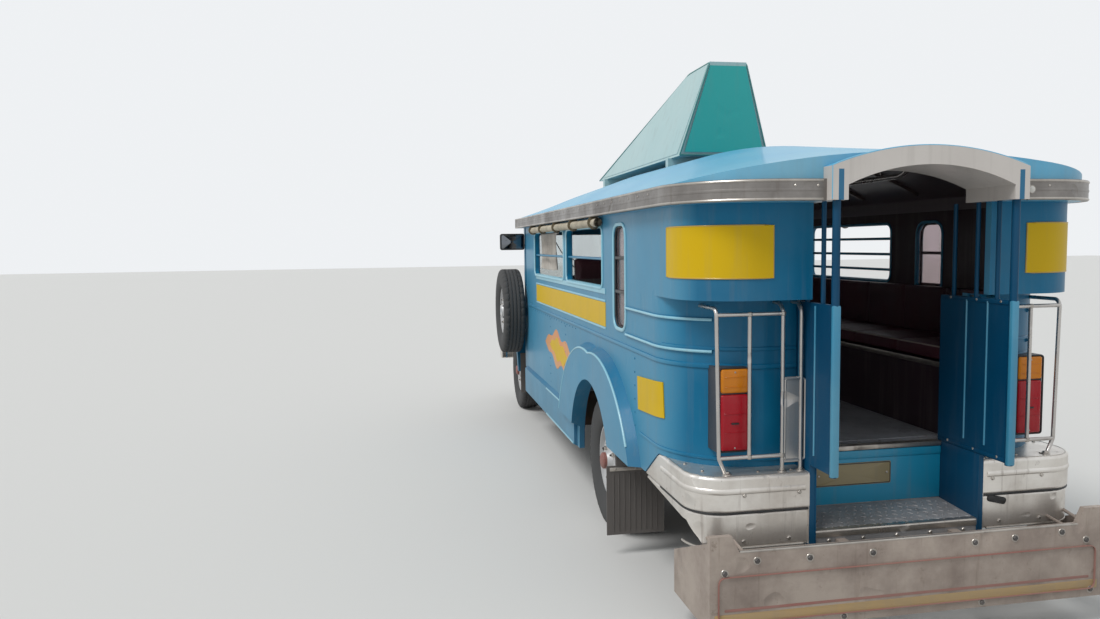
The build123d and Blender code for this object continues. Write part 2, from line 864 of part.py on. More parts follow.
keep("windshield_glass", screen_panes())
keep(
    "side_glass",
    [
        opening_cut(940 + seat_gap, 1150 - seat_gap, 1180 + seat_gap, head_z - seat_gap, side, 70)
        & block((along(0), along(2000)), sorted((side * (body_half - 20), side * (body_half - 14))), (0, 2000))
        for side in (left, right)
    ],
)

hood_rear_at = cowl_at + cowl_depth + 6
hood_top_rear = scuttle_z - 6
hood_top_front = 1130
hood_skin = 12
hood_axis_at = hood_rear_at + 6
hood_axis_z = scuttle_z + 6
hinge_half = 25
hinge_ear = 12
hinge_barrel = 8
hinge_pin = 4
hood_hinge_y = (-150, 150)


def hood_section(at, half, top, low, crown):
    """Closed section: flat bottom, upright sides and a crowned top."""
    x = along(at)
    shoulder = top - crown
    return make_face(
        [
            Line((x, -half, low), (x, half, low)),
            Line((x, half, low), (x, half, shoulder)),
            ThreePointArc((x, half, shoulder), (x, 0, top), (x, -half, shoulder)),
            Line((x, -half, shoulder), (x, -half, low)),
        ]
    )


def hood():
    """Lifting hood with folded sides, tapering to the grille."""
    outer = loft(
        [
            hood_section(hood_rear_at, hood_half_rear, hood_top_rear, hood_side_z, 40),
            hood_section(hood_front_at, hood_half_front, hood_top_front, hood_side_z, 60),
        ],
        ruled=True,
    )
    inner = loft(
        [
            hood_section(hood_rear_at - 5, hood_half_rear - hood_skin, hood_top_rear - hood_skin, hood_side_z - 5, 40),
            hood_section(hood_front_at + 5, hood_half_front - hood_skin, hood_top_front - hood_skin, hood_side_z - 5, 60),
        ],
        ruled=True,
    )
    shell = outer - inner
    x = along(hood_axis_at)
    for y in hood_hinge_y:
        shell = shell + drum(x, y, hood_axis_z, hinge_barrel, 2 * hinge_half)
        shell = shell + block((x, x + 60), (y - hinge_half, y + hinge_half), (hood_top_rear - 9, hood_axis_z))
        shell = shell - drum(x, y, hood_axis_z, hinge_pin + seat_gap, 4 * hinge_half)
    return shell


keep("hood", hood())
keep("cowl", cowl())

fender_outer = 880
fender_radius = 480
fender_skin = 18
fender_cut = 60  # the arch ends this far above the axle
grille_half = 660
grille_low = 620
grille_high = hood_top_front
lamp_y = 545
lamp_z = 960
lamp_radius = 90


def front_fender(side):
    """Arched fender with a rolled lip, and the inner panel below the hood."""
    x = along(front_axle_at)
    z = wheel_z
    y = sorted((side * 455, side * fender_outer))
    ring = drum(x, sum(y) / 2, z, fender_radius, y[1] - y[0]) - drum(x, sum(y) / 2, z, fender_radius - fender_skin, 3000)
    lip_y = sorted((side * (fender_outer - 14), side * fender_outer))
    lip = drum(x, sum(lip_y) / 2, z, fender_radius, 14) - drum(x, sum(lip_y) / 2, z, fender_radius - 55, 3000)
    arch = union(ring, lip)
    arch = arch & block((along(cowl_at + cowl_depth) + 1, along(hood_front_at) - 1), (-3000, 3000), (z + fender_cut, 3000))
    x0 = along(cowl_at + cowl_depth) + seat_gap
    x1 = along(hood_front_at) - 1
    inner = extrude(
        make_face(
            Polyline(
                (x0, side * (hood_half_rear - 1)),
                (x1, side * (hood_half_front - 1)),
                (x1, side * (hood_half_front - 19)),
                (x0, side * (hood_half_rear - 19)),
                close=True,
            )
        ),
        amount=hood_side_z - 8 - (z + 400),
    )
    inner = Pos(0, 0, z + 400) * inner
    shelf = block((x0, x), y, (z + fender_radius - fender_skin, z + fender_radius))
    shelf = shelf - extrude(
        make_face(
            Polyline(
                (x0 - 1, side * (hood_half_rear - 1)),
                (x1, side * (hood_half_front - 1)),
                (x1, side * 1),
                (x0 - 1, side * 1),
                close=True,
            )
        ),
        amount=3000,
    )
    arch = arch - extrude(
        make_face(
            Polyline(
                (x0 - 1, side * (hood_half_rear - 1)),
                (x1 + 100, side * (hood_half_front - 11)),
                (x1 + 100, side * 1),
                (x0 - 1, side * 1),
                close=True,
            )
        ),
        amount=3000,
    )
    return union(arch, inner, shelf)


keep("front_fender_left", front_fender(left))
keep("front_fender_right", front_fender(right))


def grille():
    """Grille panel with upright bars, lamp openings and a radiator behind."""
    x0 = along(hood_front_at) + 5
    x1 = x0 + grille_thick
    face = Rectangle(2 * grille_half, grille_high - grille_low)
    face = fillet(face.vertices(), 70)
    upright = Plane(origin=(x0, 0, (grille_low + grille_high) / 2), x_dir=(0, 1, 0), z_dir=(1, 0, 0))
    panel = upright * extrude(face, amount=grille_thick)
    half = 400
    panel = panel - block((x0 - 1, x1 + 1), (-half, half), (grille_low + 50, grille_high - 60))
    for side in (left, right):
        hole = Pos((x0 + x1) / 2, side * lamp_y, lamp_z) * Rot(0, 90, 0) * Cylinder(lamp_radius, 200)
        panel = panel - hole
    count = 15
    pitch = 2 * half / (count + 1)
    bars = [
        block((x0 + 10, x1 - 10), (-half + pitch * (i + 1) - 9, -half + pitch * (i + 1) + 9), (grille_low + 49, grille_high - 59))
        for i in range(count)
    ]
    radiator = block((x0 - 80, x0), (-330, 330), (grille_low + 40, grille_high - 130))
    radiator = radiator - block((x0 - 20, x0 + 1), (-300, 300), (grille_low + 60, grille_high - 150))
    feet = both(block((x0 + 5, x0 + 45), (rail_y - 25, rail_y + 25), (rail_z + rail_height + seat_gap, grille_low + 5)))
    return union(panel, bars, radiator, feet)


keep("grille", grille())
lamp = Pos(along(hood_front_at) + 5, lamp_y, lamp_z) * Rot(0, 90, 0) * Cylinder(lamp_radius - seat_gap, 70, align=(Align.CENTER, Align.CENTER, Align.MIN))
lens = Pos(along(hood_front_at) + 5 + 70, lamp_y, lamp_z) * Rot(0, 90, 0) * Cone(lamp_radius - 6, lamp_radius - 40, 22, align=(Align.CENTER, Align.CENTER, Align.MIN))
keep("headlamps", both(union(lamp, lens)))


def front_bumper():
    """Deep pressed bumper on two brackets."""
    x1 = along(bumper_front_at)
    face = RectangleRounded(150, 200, 45)
    beam = Pos(x1 - 75, 0, 510) * Rot(90, 0, 0) * extrude(face, amount=900, both=True)
    hollow = Pos(x1 - 95, 0, 510) * Rot(90, 0, 0) * extrude(Rectangle(130, 180), amount=892, both=True)
    brackets = both(block((along(rail_front_at) + seat_gap, x1 - 10), (rail_y - 30, rail_y + 30), (rail_z + 5, rail_z + 75)))
    eye_x = x1 - 60
    tab = block((eye_x - 30, eye_x + 30), (tow_eye_y - tow_eye_length / 2, tow_eye_y + tow_eye_length / 2), (tow_eye_z - 30, 415))
    eye = drum(eye_x, tow_eye_y, tow_eye_z, tow_eye_radius, 4 * tow_eye_length)
    return union(beam - hollow, brackets, tab) - eye


keep("front_bumper", front_bumper())

# Inside

bench_start = 330
bench_end = 2960
bench_front_y = 430
bench_top = 1050
cushion_thick = 80
partition_thick = 25


def bench_frames():
    """Bench fronts with their top plates, and the low partition behind the cab."""
    parts = []
    for side in (left, right):
        x = (along(bench_start), along(bench_end))
        front = block(x, sorted((side * bench_front_y, side * (bench_front_y + 18))), (floor_z, bench_top))
        top = block(x, sorted((side * bench_front_y, side * (wall_inner - seat_gap))), (bench_top - 18, bench_top))
        end = block((x[0], x[0] + 18), sorted((side * bench_front_y, side * (wall_inner - seat_gap))), (floor_z, bench_top))
        parts.append(union(front, top, end))
    partition = block((along(bench_end), along(bench_end) + partition_thick), (-wall_inner + seat_gap, wall_inner - seat_gap), (floor_z, sill_z - 20))
    return union(parts[0] & cabin_clear(seat_gap), parts[1] & cabin_clear(seat_gap), partition)


def soft_block(x, y, z, radius):
    """Cushion block with rounded long edges."""
    solid = block(x, y, z)
    return fillet(solid.edges().filter_by(Axis.X), radius) if radius else solid


keep("bench_frames", bench_frames())
bench_x = (along(bench_start) + 5, along(bench_end) - 5)
keep(
    "bench_cushions",
    both(
        soft_block(
            bench_x, (bench_front_y + 3, wall_inner - 64), (bench_top + seat_gap, bench_top + cushion_thick), 22
        )
    ),
)
backrest_x = (along(lower_rear_at + lower_corner_radius) + 10, along(bench_end) - 5)
keep(
    "bench_backrests",
    both(soft_block(backrest_x, (wall_inner - 58, wall_inner - seat_gap), (bench_top + 60, sill_z - 10), 18)),
)

cab_seat_rear = bench_end + partition_thick + seat_gap
cab_seat_x = (cab_seat_rear + 120, cab_seat_rear + 580)
keep(
    "cab_seat_frames",
    both(block((along(cab_seat_x[0]), along(cab_seat_x[1])), (150, wall_inner - 140), (floor_z, 985))),
)
cab_cushion = block((along(cab_seat_x[0]) + 5, along(cab_seat_x[1]) - 5), (155, wall_inner - 145), (985 + seat_gap, 1080))
cab_back = block((along(cab_seat_rear), along(cab_seat_rear) + 110), (155, wall_inner - 145), (985 + seat_gap, 1520))
keep(
    "cab_seats",
    both(fillet(cab_cushion.edges().filter_by(Axis.Y), 25)),
    both(fillet(cab_back.edges().filter_by(Axis.Y), 25)),
)

dash_at = cowl_at - 160
dash = block((along(dash_at), along(cowl_at)), (-wall_inner + seat_gap, wall_inner - seat_gap), (1080, 1235))
dash = fillet(dash.edges().filter_by(Axis.Y).group_by(Axis.X)[0], 35)
column_low = (along(cowl_at - 40), 400, 910)
column_high = (along(cowl_at - 330), 400, 1190)
pedal_box = block((column_low[0] + 10, along(cowl_at) + 60), (340, 460), (floor_z, 1081))
column = rod(column_low, column_high, 24)
keep("dashboard", union(dash, pedal_box, column))

steering_radius = 200


def steering_wheel():
    """Rim, three spokes and hub, square to the raked column."""
    ring = Torus(steering_radius, 14)
    hub = Cylinder(38, 40)
    spokes = [Rot(0, 0, 120 * i) * Pos(steering_radius / 2, 0, 0) * Box(steering_radius - 10, 26, 8) for i in range(3)]
    return union(ring, hub, spokes)


column_run = ((column_high[0] - column_low[0]) ** 2 + (column_high[2] - column_low[2]) ** 2) ** 0.5
column_axis = ((column_high[0] - column_low[0]) / column_run, 0, (column_high[2] - column_low[2]) / column_run)
wheel_centre = tuple(c + 21 * a for c, a in zip(column_high, column_axis))
keep("steering_wheel", Plane(wheel_centre, z_dir=column_axis) * steering_wheel())

# Guards, lamps, bars, mirrors, flaps


lamp_rear_at = 100
lamp_inner_y = 607
lamp_outer_y = body_half - 140
tail_lamp_z = (765, 1105)


def tail_lamp(side):
    """Upright two-colour lamp in its housing, seated on the rounded corner."""
    housing = block((along(lamp_rear_at), along(230)), (lamp_inner_y, lamp_outer_y), tail_lamp_z)
    housing = fillet(housing.edges().filter_by(Axis.Z).group_by(Axis.X)[0], 15) - lower_body_clear(seat_gap)
    return housing if side == left else mirror(housing, about=Plane.XZ)


keep("tail_lamps", [tail_lamp(side) for side in (left, right)])

guard_radius = 8
guard_at = 50
guard_outer_y = body_half - 115
guard_inner_y = 622
guard_foot_y = guard_outer_y - 46
guard_rail_z = (755, 1320)
hoop_y = (483, 405)
hoop_top = 1360
infill_top = 1062


def lamp_guard(side):
    """Pipe frame round the lamp and the pair of grab hoops beside the entry."""
    foot = bumper_top + seat_gap
    x = along(guard_at)
    low, high = guard_rail_z
    outer_hoop, inner_hoop = hoop_y
    outer = bent_rod(
        (
            (x, guard_foot_y, foot - 15),
            (x, guard_outer_y - 12, low),
            (x, guard_outer_y, high + 25),
            (along(260), guard_outer_y, high + 25),
        ),
        guard_radius,
        30,
    )
    low_rail = rod((x, guard_outer_y - 14, low), (x, outer_hoop, low), guard_radius)
    middle = rod((x, guard_inner_y, low), (x, guard_inner_y, high), guard_radius)
    top_rail = rod((x, guard_outer_y, high), (x, outer_hoop, high), guard_radius)
    hoops = [
        bent_rod(((x, y, foot), (x, y, hoop_top), (along(lower_rear_at + 60), y, hoop_top)), guard_radius, 50)
        for y in hoop_y
    ]
    ties = [rod((x, outer_hoop, z), (x, inner_hoop, z), guard_radius - 2) for z in (infill_top, foot + 40)]
    infill = block((x - 2, x + 2), (inner_hoop, outer_hoop), (foot + 40, infill_top))
    frame = union(outer, low_rail, middle, top_rail, hoops, ties, infill)
    frame = frame - lower_body_clear(seat_gap)
    return frame - block((x - 50, x + 50), (0, 900), (foot - 60, foot))


keep("lamp_guards", both(lamp_guard(left)))

bar_radius = 8


def window_bars():
    """Level bars across the side windows."""
    table = (
        # start, end, heights, side
        (1400, 2360, (1520,), left),
        (2460, 3620, (1520,), left),
        (1400, 2360, (1430, 1520, 1610), right),
        (2460, 2980, (1430, 1520, 1610), right),
    )
    bars = []
    for start, end, heights, side in table:
        y = side * (body_half - wall / 2)
        for z in heights:
            bars.append(rod((along(start) + seat_gap, y, z), (along(end) - seat_gap, y, z), bar_radius))
    return bars


keep("window_bars", window_bars())


def mirror_set(side):
    """Driving mirror on a bent arm from the windscreen surround."""
    x1 = along(cowl_at + cowl_depth)
    arm = bent_rod(
        ((x1 - 30, body_half - 2, 1600), (x1 - 30, body_half + 105, 1600), (x1 - 30, body_half + 105, 1560)), 8, 20
    )
    arm = arm - block((along(3000), along(4500)), (0, body_half + seat_gap), (0, 2000))
    head = fillet(block((x1 - 60, x1 - 30), (body_half + 5, body_half + 215), (1560, 1700)).edges().filter_by(Axis.X), 18)
    solid = union(arm, head)
    return solid if side == left else mirror(solid, about=Plane.XZ)


keep("mirrors", [mirror_set(side) for side in (left, right)])

flap_thick = 8
flap_x = along(bolster_at[1]) + bolster_width + seat_gap


def rear_flap():
    """Rubber flap behind a rear wheel, hung on the body bolster."""
    x = (flap_x, flap_x + flap_thick)
    upper = block(x, (640, wall_inner - seat_gap), (300, floor_z - floor_thick - seat_gap))
    middle = block(x, (640, body_half + 20), (300, skirt_z - seat_gap))
    lower = block(x, (640, body_half + 70), (110, flare_low_z - seat_gap))
    return union(upper, middle, lower)


fender_foot = (fender_radius**2 - fender_cut**2) ** 0.5
front_flap_x = along(front_axle_at) - fender_foot - seat_gap
front_flap = block((front_flap_x - flap_thick, front_flap_x), (600, fender_outer - 20), (230, 600))
keep("mud_flaps", both(rear_flap()), both(front_flap))

keep("spare_tyre", tyre(along(spare_at), spare_y, spare_z))
keep("spare_rim", rim(along(spare_at), spare_y, spare_z, left))

# Rooftop sign and rolled curtains

sign_low = 2125
sign_high = 2670


def roof_sign():
    """Blank wedge-shaped sign box on two cross bars."""
    base = make_face(
        Polyline(
            (along(1850), -280, sign_low), (along(3840), -280, sign_low),
            (along(3840), 280, sign_low), (along(1850), 280, sign_low), close=True,
        )
    )
    top = make_face(
        Polyline(
            (along(1780), -115, sign_high), (along(2130), -115, sign_high),
            (along(2130), 115, sign_high), (along(1780), 115, sign_high), close=True,
        )
    )
    box = loft([base, top], ruled=True)
    outer = roof_loft(body_half + roof_side_over + roof_trim, eave_z, eave_z + band_height - 3, -seat_gap)
    bars = [
        block((along(at), along(at) + 50), (-300, 300), (1900, sign_low)) - outer
        for at in (2000, 3600)
    ]
    return union(box, bars)


keep("roof_sign", roof_sign())
roll_radius = 28
keep(
    "curtain_rolls",
    both(
        Pos(along(2500), body_half + roll_radius + seat_gap, eave_z - roll_radius - 4)
        * Rot(0, 90, 0)
        * Cylinder(roll_radius, 2240)
    ),
)

# Cab door on the right

door_gap = 6
door_thick = 30
door_axis_x = along(door_end) - 4
door_axis_y = -(body_half + 12)
hinge_heights = (620, 1220)
ear_radius = 9
ear_height = 12
door_sill_z = sill_z


def cab_door():
    """Half-height door with hinge barrels on its front edge."""
    panel = block(
        (along(door_start) + door_gap, along(door_end) - door_gap),
        (-body_half, -body_half + door_thick),
        (door_low + door_gap, door_sill_z),
    )
    panel = fillet(panel.edges().filter_by(Axis.Y), 40)
    parts = [panel]
    for z in hinge_heights:
        barrel = Pos(door_axis_x, door_axis_y, z) * Cylinder(10, 50)
        leaf = block((door_axis_x - 70, door_axis_x), (-body_half - 12, -body_half), (z - 25, z + 25))
        parts.append(leaf)
        parts.append(barrel)
    solid = union(parts)
    for z in hinge_heights:
        solid = solid - Pos(door_axis_x, door_axis_y, z) * Cylinder(5 + seat_gap, 60)
    return solid


def door_hinges():
    """Pins and ears that carry the door on the body."""
    parts = []
    for z in hinge_heights:
        pin = Pos(door_axis_x, door_axis_y, z) * Cylinder(5, 76)
        for end in (-32, 32):
            low = z + end - ear_height / 2
            ear = block((door_axis_x + 6, door_axis_x + 60), (-body_half - 20, -body_half - seat_gap), (low, low + ear_height))
            parts.append(ear)
            parts.append(Pos(door_axis_x, door_axis_y, z + end) * Cylinder(ear_radius, ear_height))
        parts.append(pin)
    return [union(parts[5 * i: 5 * i + 5]) for i in range(2)]


keep("cab_door", cab_door())
keep("door_hinges", door_hinges())

os.makedirs("parts", exist_ok=True)
for name, solid in nodes.items():
    export_step(solid, "parts/" + name + ".step")
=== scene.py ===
"""Looks of a long-bodied passenger jeepney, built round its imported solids.

Lengths are metres in the row frame: +X forward, +Y left, +Z up, the ground at
zero. Distances `at(d)` are counted forward from the body's rear face.
"""

from __future__ import annotations

import json
import logging
import math
from dataclasses import dataclass
from enum import Enum
from functools import cache, partialmethod
from typing import Callable

import bmesh
import bpy
import numpy as np
from mathutils import Matrix, Vector

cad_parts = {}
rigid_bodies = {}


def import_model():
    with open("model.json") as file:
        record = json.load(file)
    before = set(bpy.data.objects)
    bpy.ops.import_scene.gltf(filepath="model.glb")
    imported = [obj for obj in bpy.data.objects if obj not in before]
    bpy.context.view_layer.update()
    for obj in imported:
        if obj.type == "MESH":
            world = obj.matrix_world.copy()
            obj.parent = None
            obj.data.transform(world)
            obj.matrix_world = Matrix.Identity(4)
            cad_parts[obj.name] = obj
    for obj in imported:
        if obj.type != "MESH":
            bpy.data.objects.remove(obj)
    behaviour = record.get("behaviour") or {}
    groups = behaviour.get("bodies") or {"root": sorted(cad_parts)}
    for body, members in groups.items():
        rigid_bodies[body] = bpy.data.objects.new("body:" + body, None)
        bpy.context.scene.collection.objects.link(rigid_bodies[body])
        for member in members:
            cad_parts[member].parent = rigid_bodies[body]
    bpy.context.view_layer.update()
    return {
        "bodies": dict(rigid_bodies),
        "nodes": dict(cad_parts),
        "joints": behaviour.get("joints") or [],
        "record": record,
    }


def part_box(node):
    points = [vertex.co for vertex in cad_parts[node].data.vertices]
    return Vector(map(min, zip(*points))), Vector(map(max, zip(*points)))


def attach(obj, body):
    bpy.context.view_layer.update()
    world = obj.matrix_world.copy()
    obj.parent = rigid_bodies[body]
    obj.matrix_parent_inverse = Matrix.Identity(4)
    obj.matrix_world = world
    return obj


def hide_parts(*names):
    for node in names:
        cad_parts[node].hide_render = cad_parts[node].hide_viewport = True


log = logging.getLogger("jeepney")
Array = np.ndarray
Socket = bpy.types.NodeSocket

REAR_FACE = -2.825
BODY_HALF = 0.875
FRONT, REAR = (1, 0, 0), (-1, 0, 0)
LEFT, RIGHT = (0, 1, 0), (0, -1, 0)
UP, DOWN = (0, 0, 1), (0, 0, -1)


def at(distance: float) -> float:
    """X of a point this far in front of the body's rear face."""
    return REAR_FACE + distance


def linear(red: int, green: int, blue: int) -> tuple[float, float, float, float]:
    """Screen colour, 0 to 255, to linear light and an alpha of one.

    Each is ((c + 0.055) / 1.055) to the power 2.4, or c / 12.92 when dark.
    """
    c = np.array([red, green, blue]) / 255
    out = np.where(c <= 0.04045, c / 12.92, ((c + 0.055) / 1.055) ** 2.4)
    return (*out.tolist(), 1.0)


class Body(str, Enum):
    """Bodies of the frame that pieces ride on."""

    SHELL = "jeepney_body"
    HOOD = "hood_lid"
    DOOR = "cab_door_leaf"
    HANDWHEEL = "steering_handwheel"


class Wheel(Enum):
    """Road wheels and the spare: body, distance along, Y of the middle, height, outer side."""

    FRONT_LEFT = ("wheel_front_left", 5.1, 0.73, 0.37, 1)
    FRONT_RIGHT = ("wheel_front_right", 5.1, -0.73, 0.37, -1)
    REAR_LEFT = ("wheel_rear_left", 1.55, 0.748, 0.37, 1)
    REAR_RIGHT = ("wheel_rear_right", 1.55, -0.748, 0.37, -1)
    SPARE = ("jeepney_body", 4.35, 0.988, 1.02, 1)

    @property
    def node_end(self) -> str:
        """The word that ends this wheel's node names."""
        return self.name.lower()


# Shader building


class Sketch:
    """Short hand for placing and linking nodes in one tree."""

    def __init__(self, tree: bpy.types.NodeTree) -> None:
        """Keep the tree that the nodes go into."""
        self.tree = tree

    def feed(self, socket: Socket, value: object) -> None:
        """Link a socket to another, or set it to a plain value."""
        if isinstance(value, Socket):
            self.tree.links.new(value, socket)
        else:
            socket.default_value = value

    def fill(self, node: bpy.types.Node, **values: object) -> None:
        """Feed a node's inputs by name, with blanks as underscores."""
        for key, value in values.items():
            self.feed(node.inputs[key.replace("_", " ")], value)

    def node(self, kind: str, **values: object) -> bpy.types.Node:
        """Add a node, set its settings, and feed its inputs.

        Args:
            kind: the node's type name without its "ShaderNode" start.
            values: settings by name in small letters, and inputs by name.

        Returns:
            The new node.
        """
        made = self.tree.nodes.new("ShaderNode" + kind)
        for key in [k for k in values if k[0].islower()]:
            setattr(made, key, values.pop(key))
        self.fill(made, **values)
        return made

    def math(self, operation: str, *values: object, clamp: bool = False) -> Socket:
        """One arithmetic step.

        Args:
            operation: Blender's name of it.
            values: numbers or sockets.
            clamp: keep the answer between 0 and 1.

        Returns:
            The answer's socket.
        """
        made = self.node("Math", operation=operation, use_clamp=clamp)
        for socket, value in zip(made.inputs, values):
            self.feed(socket, value)
        return made.outputs[0]

    add = partialmethod(math, "ADD")
    sub = partialmethod(math, "SUBTRACT")
    mul = partialmethod(math, "MULTIPLY")
    most = partialmethod(math, "MAXIMUM")
    size = partialmethod(math, "ABSOLUTE")
    sine = partialmethod(math, "SINE")
    below = partialmethod(math, "LESS_THAN")
    above = partialmethod(math, "GREATER_THAN")
    mul_add = partialmethod(math, "MULTIPLY_ADD")

    def hypot(self, a: Socket, b: Socket) -> Socket:
        """Root of the sum of two squares."""
        return self.math("SQRT", self.mul_add(a, a, self.mul(b, b)))

    def mix(self, factor: object, first: object, second: object) -> Socket:
        """Colour between two: first times (1 - factor) plus second times factor."""
        made = self.node("Mix", data_type="RGBA", clamp_factor=True)
        for index, value in ((0, factor), (6, first), (7, second)):
            self.feed(made.inputs[index], value)
        return made.outputs[2]

    def span(
        self, value: object, low: float, high: float, to_low: float = 0.0, to_high: float = 1.0
    ) -> Socket:
        """Straight-line map of a range to another, held at its ends."""
        made = self.node("MapRange")
        for socket, given in zip(made.inputs, (value, low, high, to_low, to_high)):
            self.feed(socket, given)
        return made.outputs[0]

    def place(self, scale: tuple[float, float, float] = (1, 1, 1)) -> Socket:
        """Object coordinates, stretched by a factor along each axis."""
        coords = self.node("TexCoord").outputs["Object"]
        return coords if scale == (1, 1, 1) else self.node("Mapping", Vector=coords, Scale=scale).outputs[0]

    def axes(self) -> list[Socket]:
        """X, Y and Z of the point, in metres."""
        return list(self.node("SeparateXYZ", Vector=self.place()).outputs)

    def facing(self, axis: int) -> Socket:
        """How far the surface faces along an axis, from -1 to 1."""
        return self.node("SeparateXYZ", Vector=self.node("TexCoord").outputs["Normal"]).outputs[axis]

    def noise(
        self, scale: object, detail: float = 3.0, rough: float = 0.55, stretch: tuple = (1, 1, 1)
    ) -> Socket:
        """Cloudy value near one half, over Object coordinates."""
        made = self.node("TexNoise", Vector=self.place(stretch), Scale=scale, Detail=detail, Roughness=rough)
        return made.outputs[0]


class Effect:
    """A node group with named inputs and outputs, built once and placed in many materials."""

    def __init__(self, name: str, inputs: dict[str, object], outputs: tuple[str, ...]) -> None:
        """Make the empty group.

        Args:
            name: the group's name.
            inputs: each input's name and resting value; four numbers make a colour.
            outputs: names of the outputs, where one that starts with Colour is a colour.
        """
        self.tree = bpy.data.node_groups.new(name, "ShaderNodeTree")
        for key, value in inputs.items():
            self.socket(key, "INPUT", isinstance(value, tuple)).default_value = value
        for key in outputs:
            self.socket(key, "OUTPUT", key.startswith("Colour"))
        self.sketch = Sketch(self.tree)
        self.ins = self.tree.nodes.new("NodeGroupInput").outputs
        self.outs = self.tree.nodes.new("NodeGroupOutput").inputs

    def socket(self, key: str, way: str, colour: bool) -> bpy.types.NodeTreeInterfaceSocket:
        """A colour or number of the group's interface."""
        kind = "NodeSocketColor" if colour else "NodeSocketFloat"
        return self.tree.interface.new_socket(key, in_out=way, socket_type=kind)

    def give(self, **values: Socket) -> "Effect":
        """Link the group's outputs by name."""
        for key, value in values.items():
            self.sketch.feed(self.outs[key], value)
        return self

    def put(self, sketch: Sketch, **values: object) -> bpy.types.bpy_prop_collection:
        """Place this group in a material.

        Args:
            sketch: the material's tree.
            values: inputs by name, with blanks as underscores.

        Returns:
            The group's outputs.
        """
        made = sketch.tree.nodes.new("ShaderNodeGroup")
        made.node_tree = self.tree
        sketch.fill(made, **values)
        return made.outputs


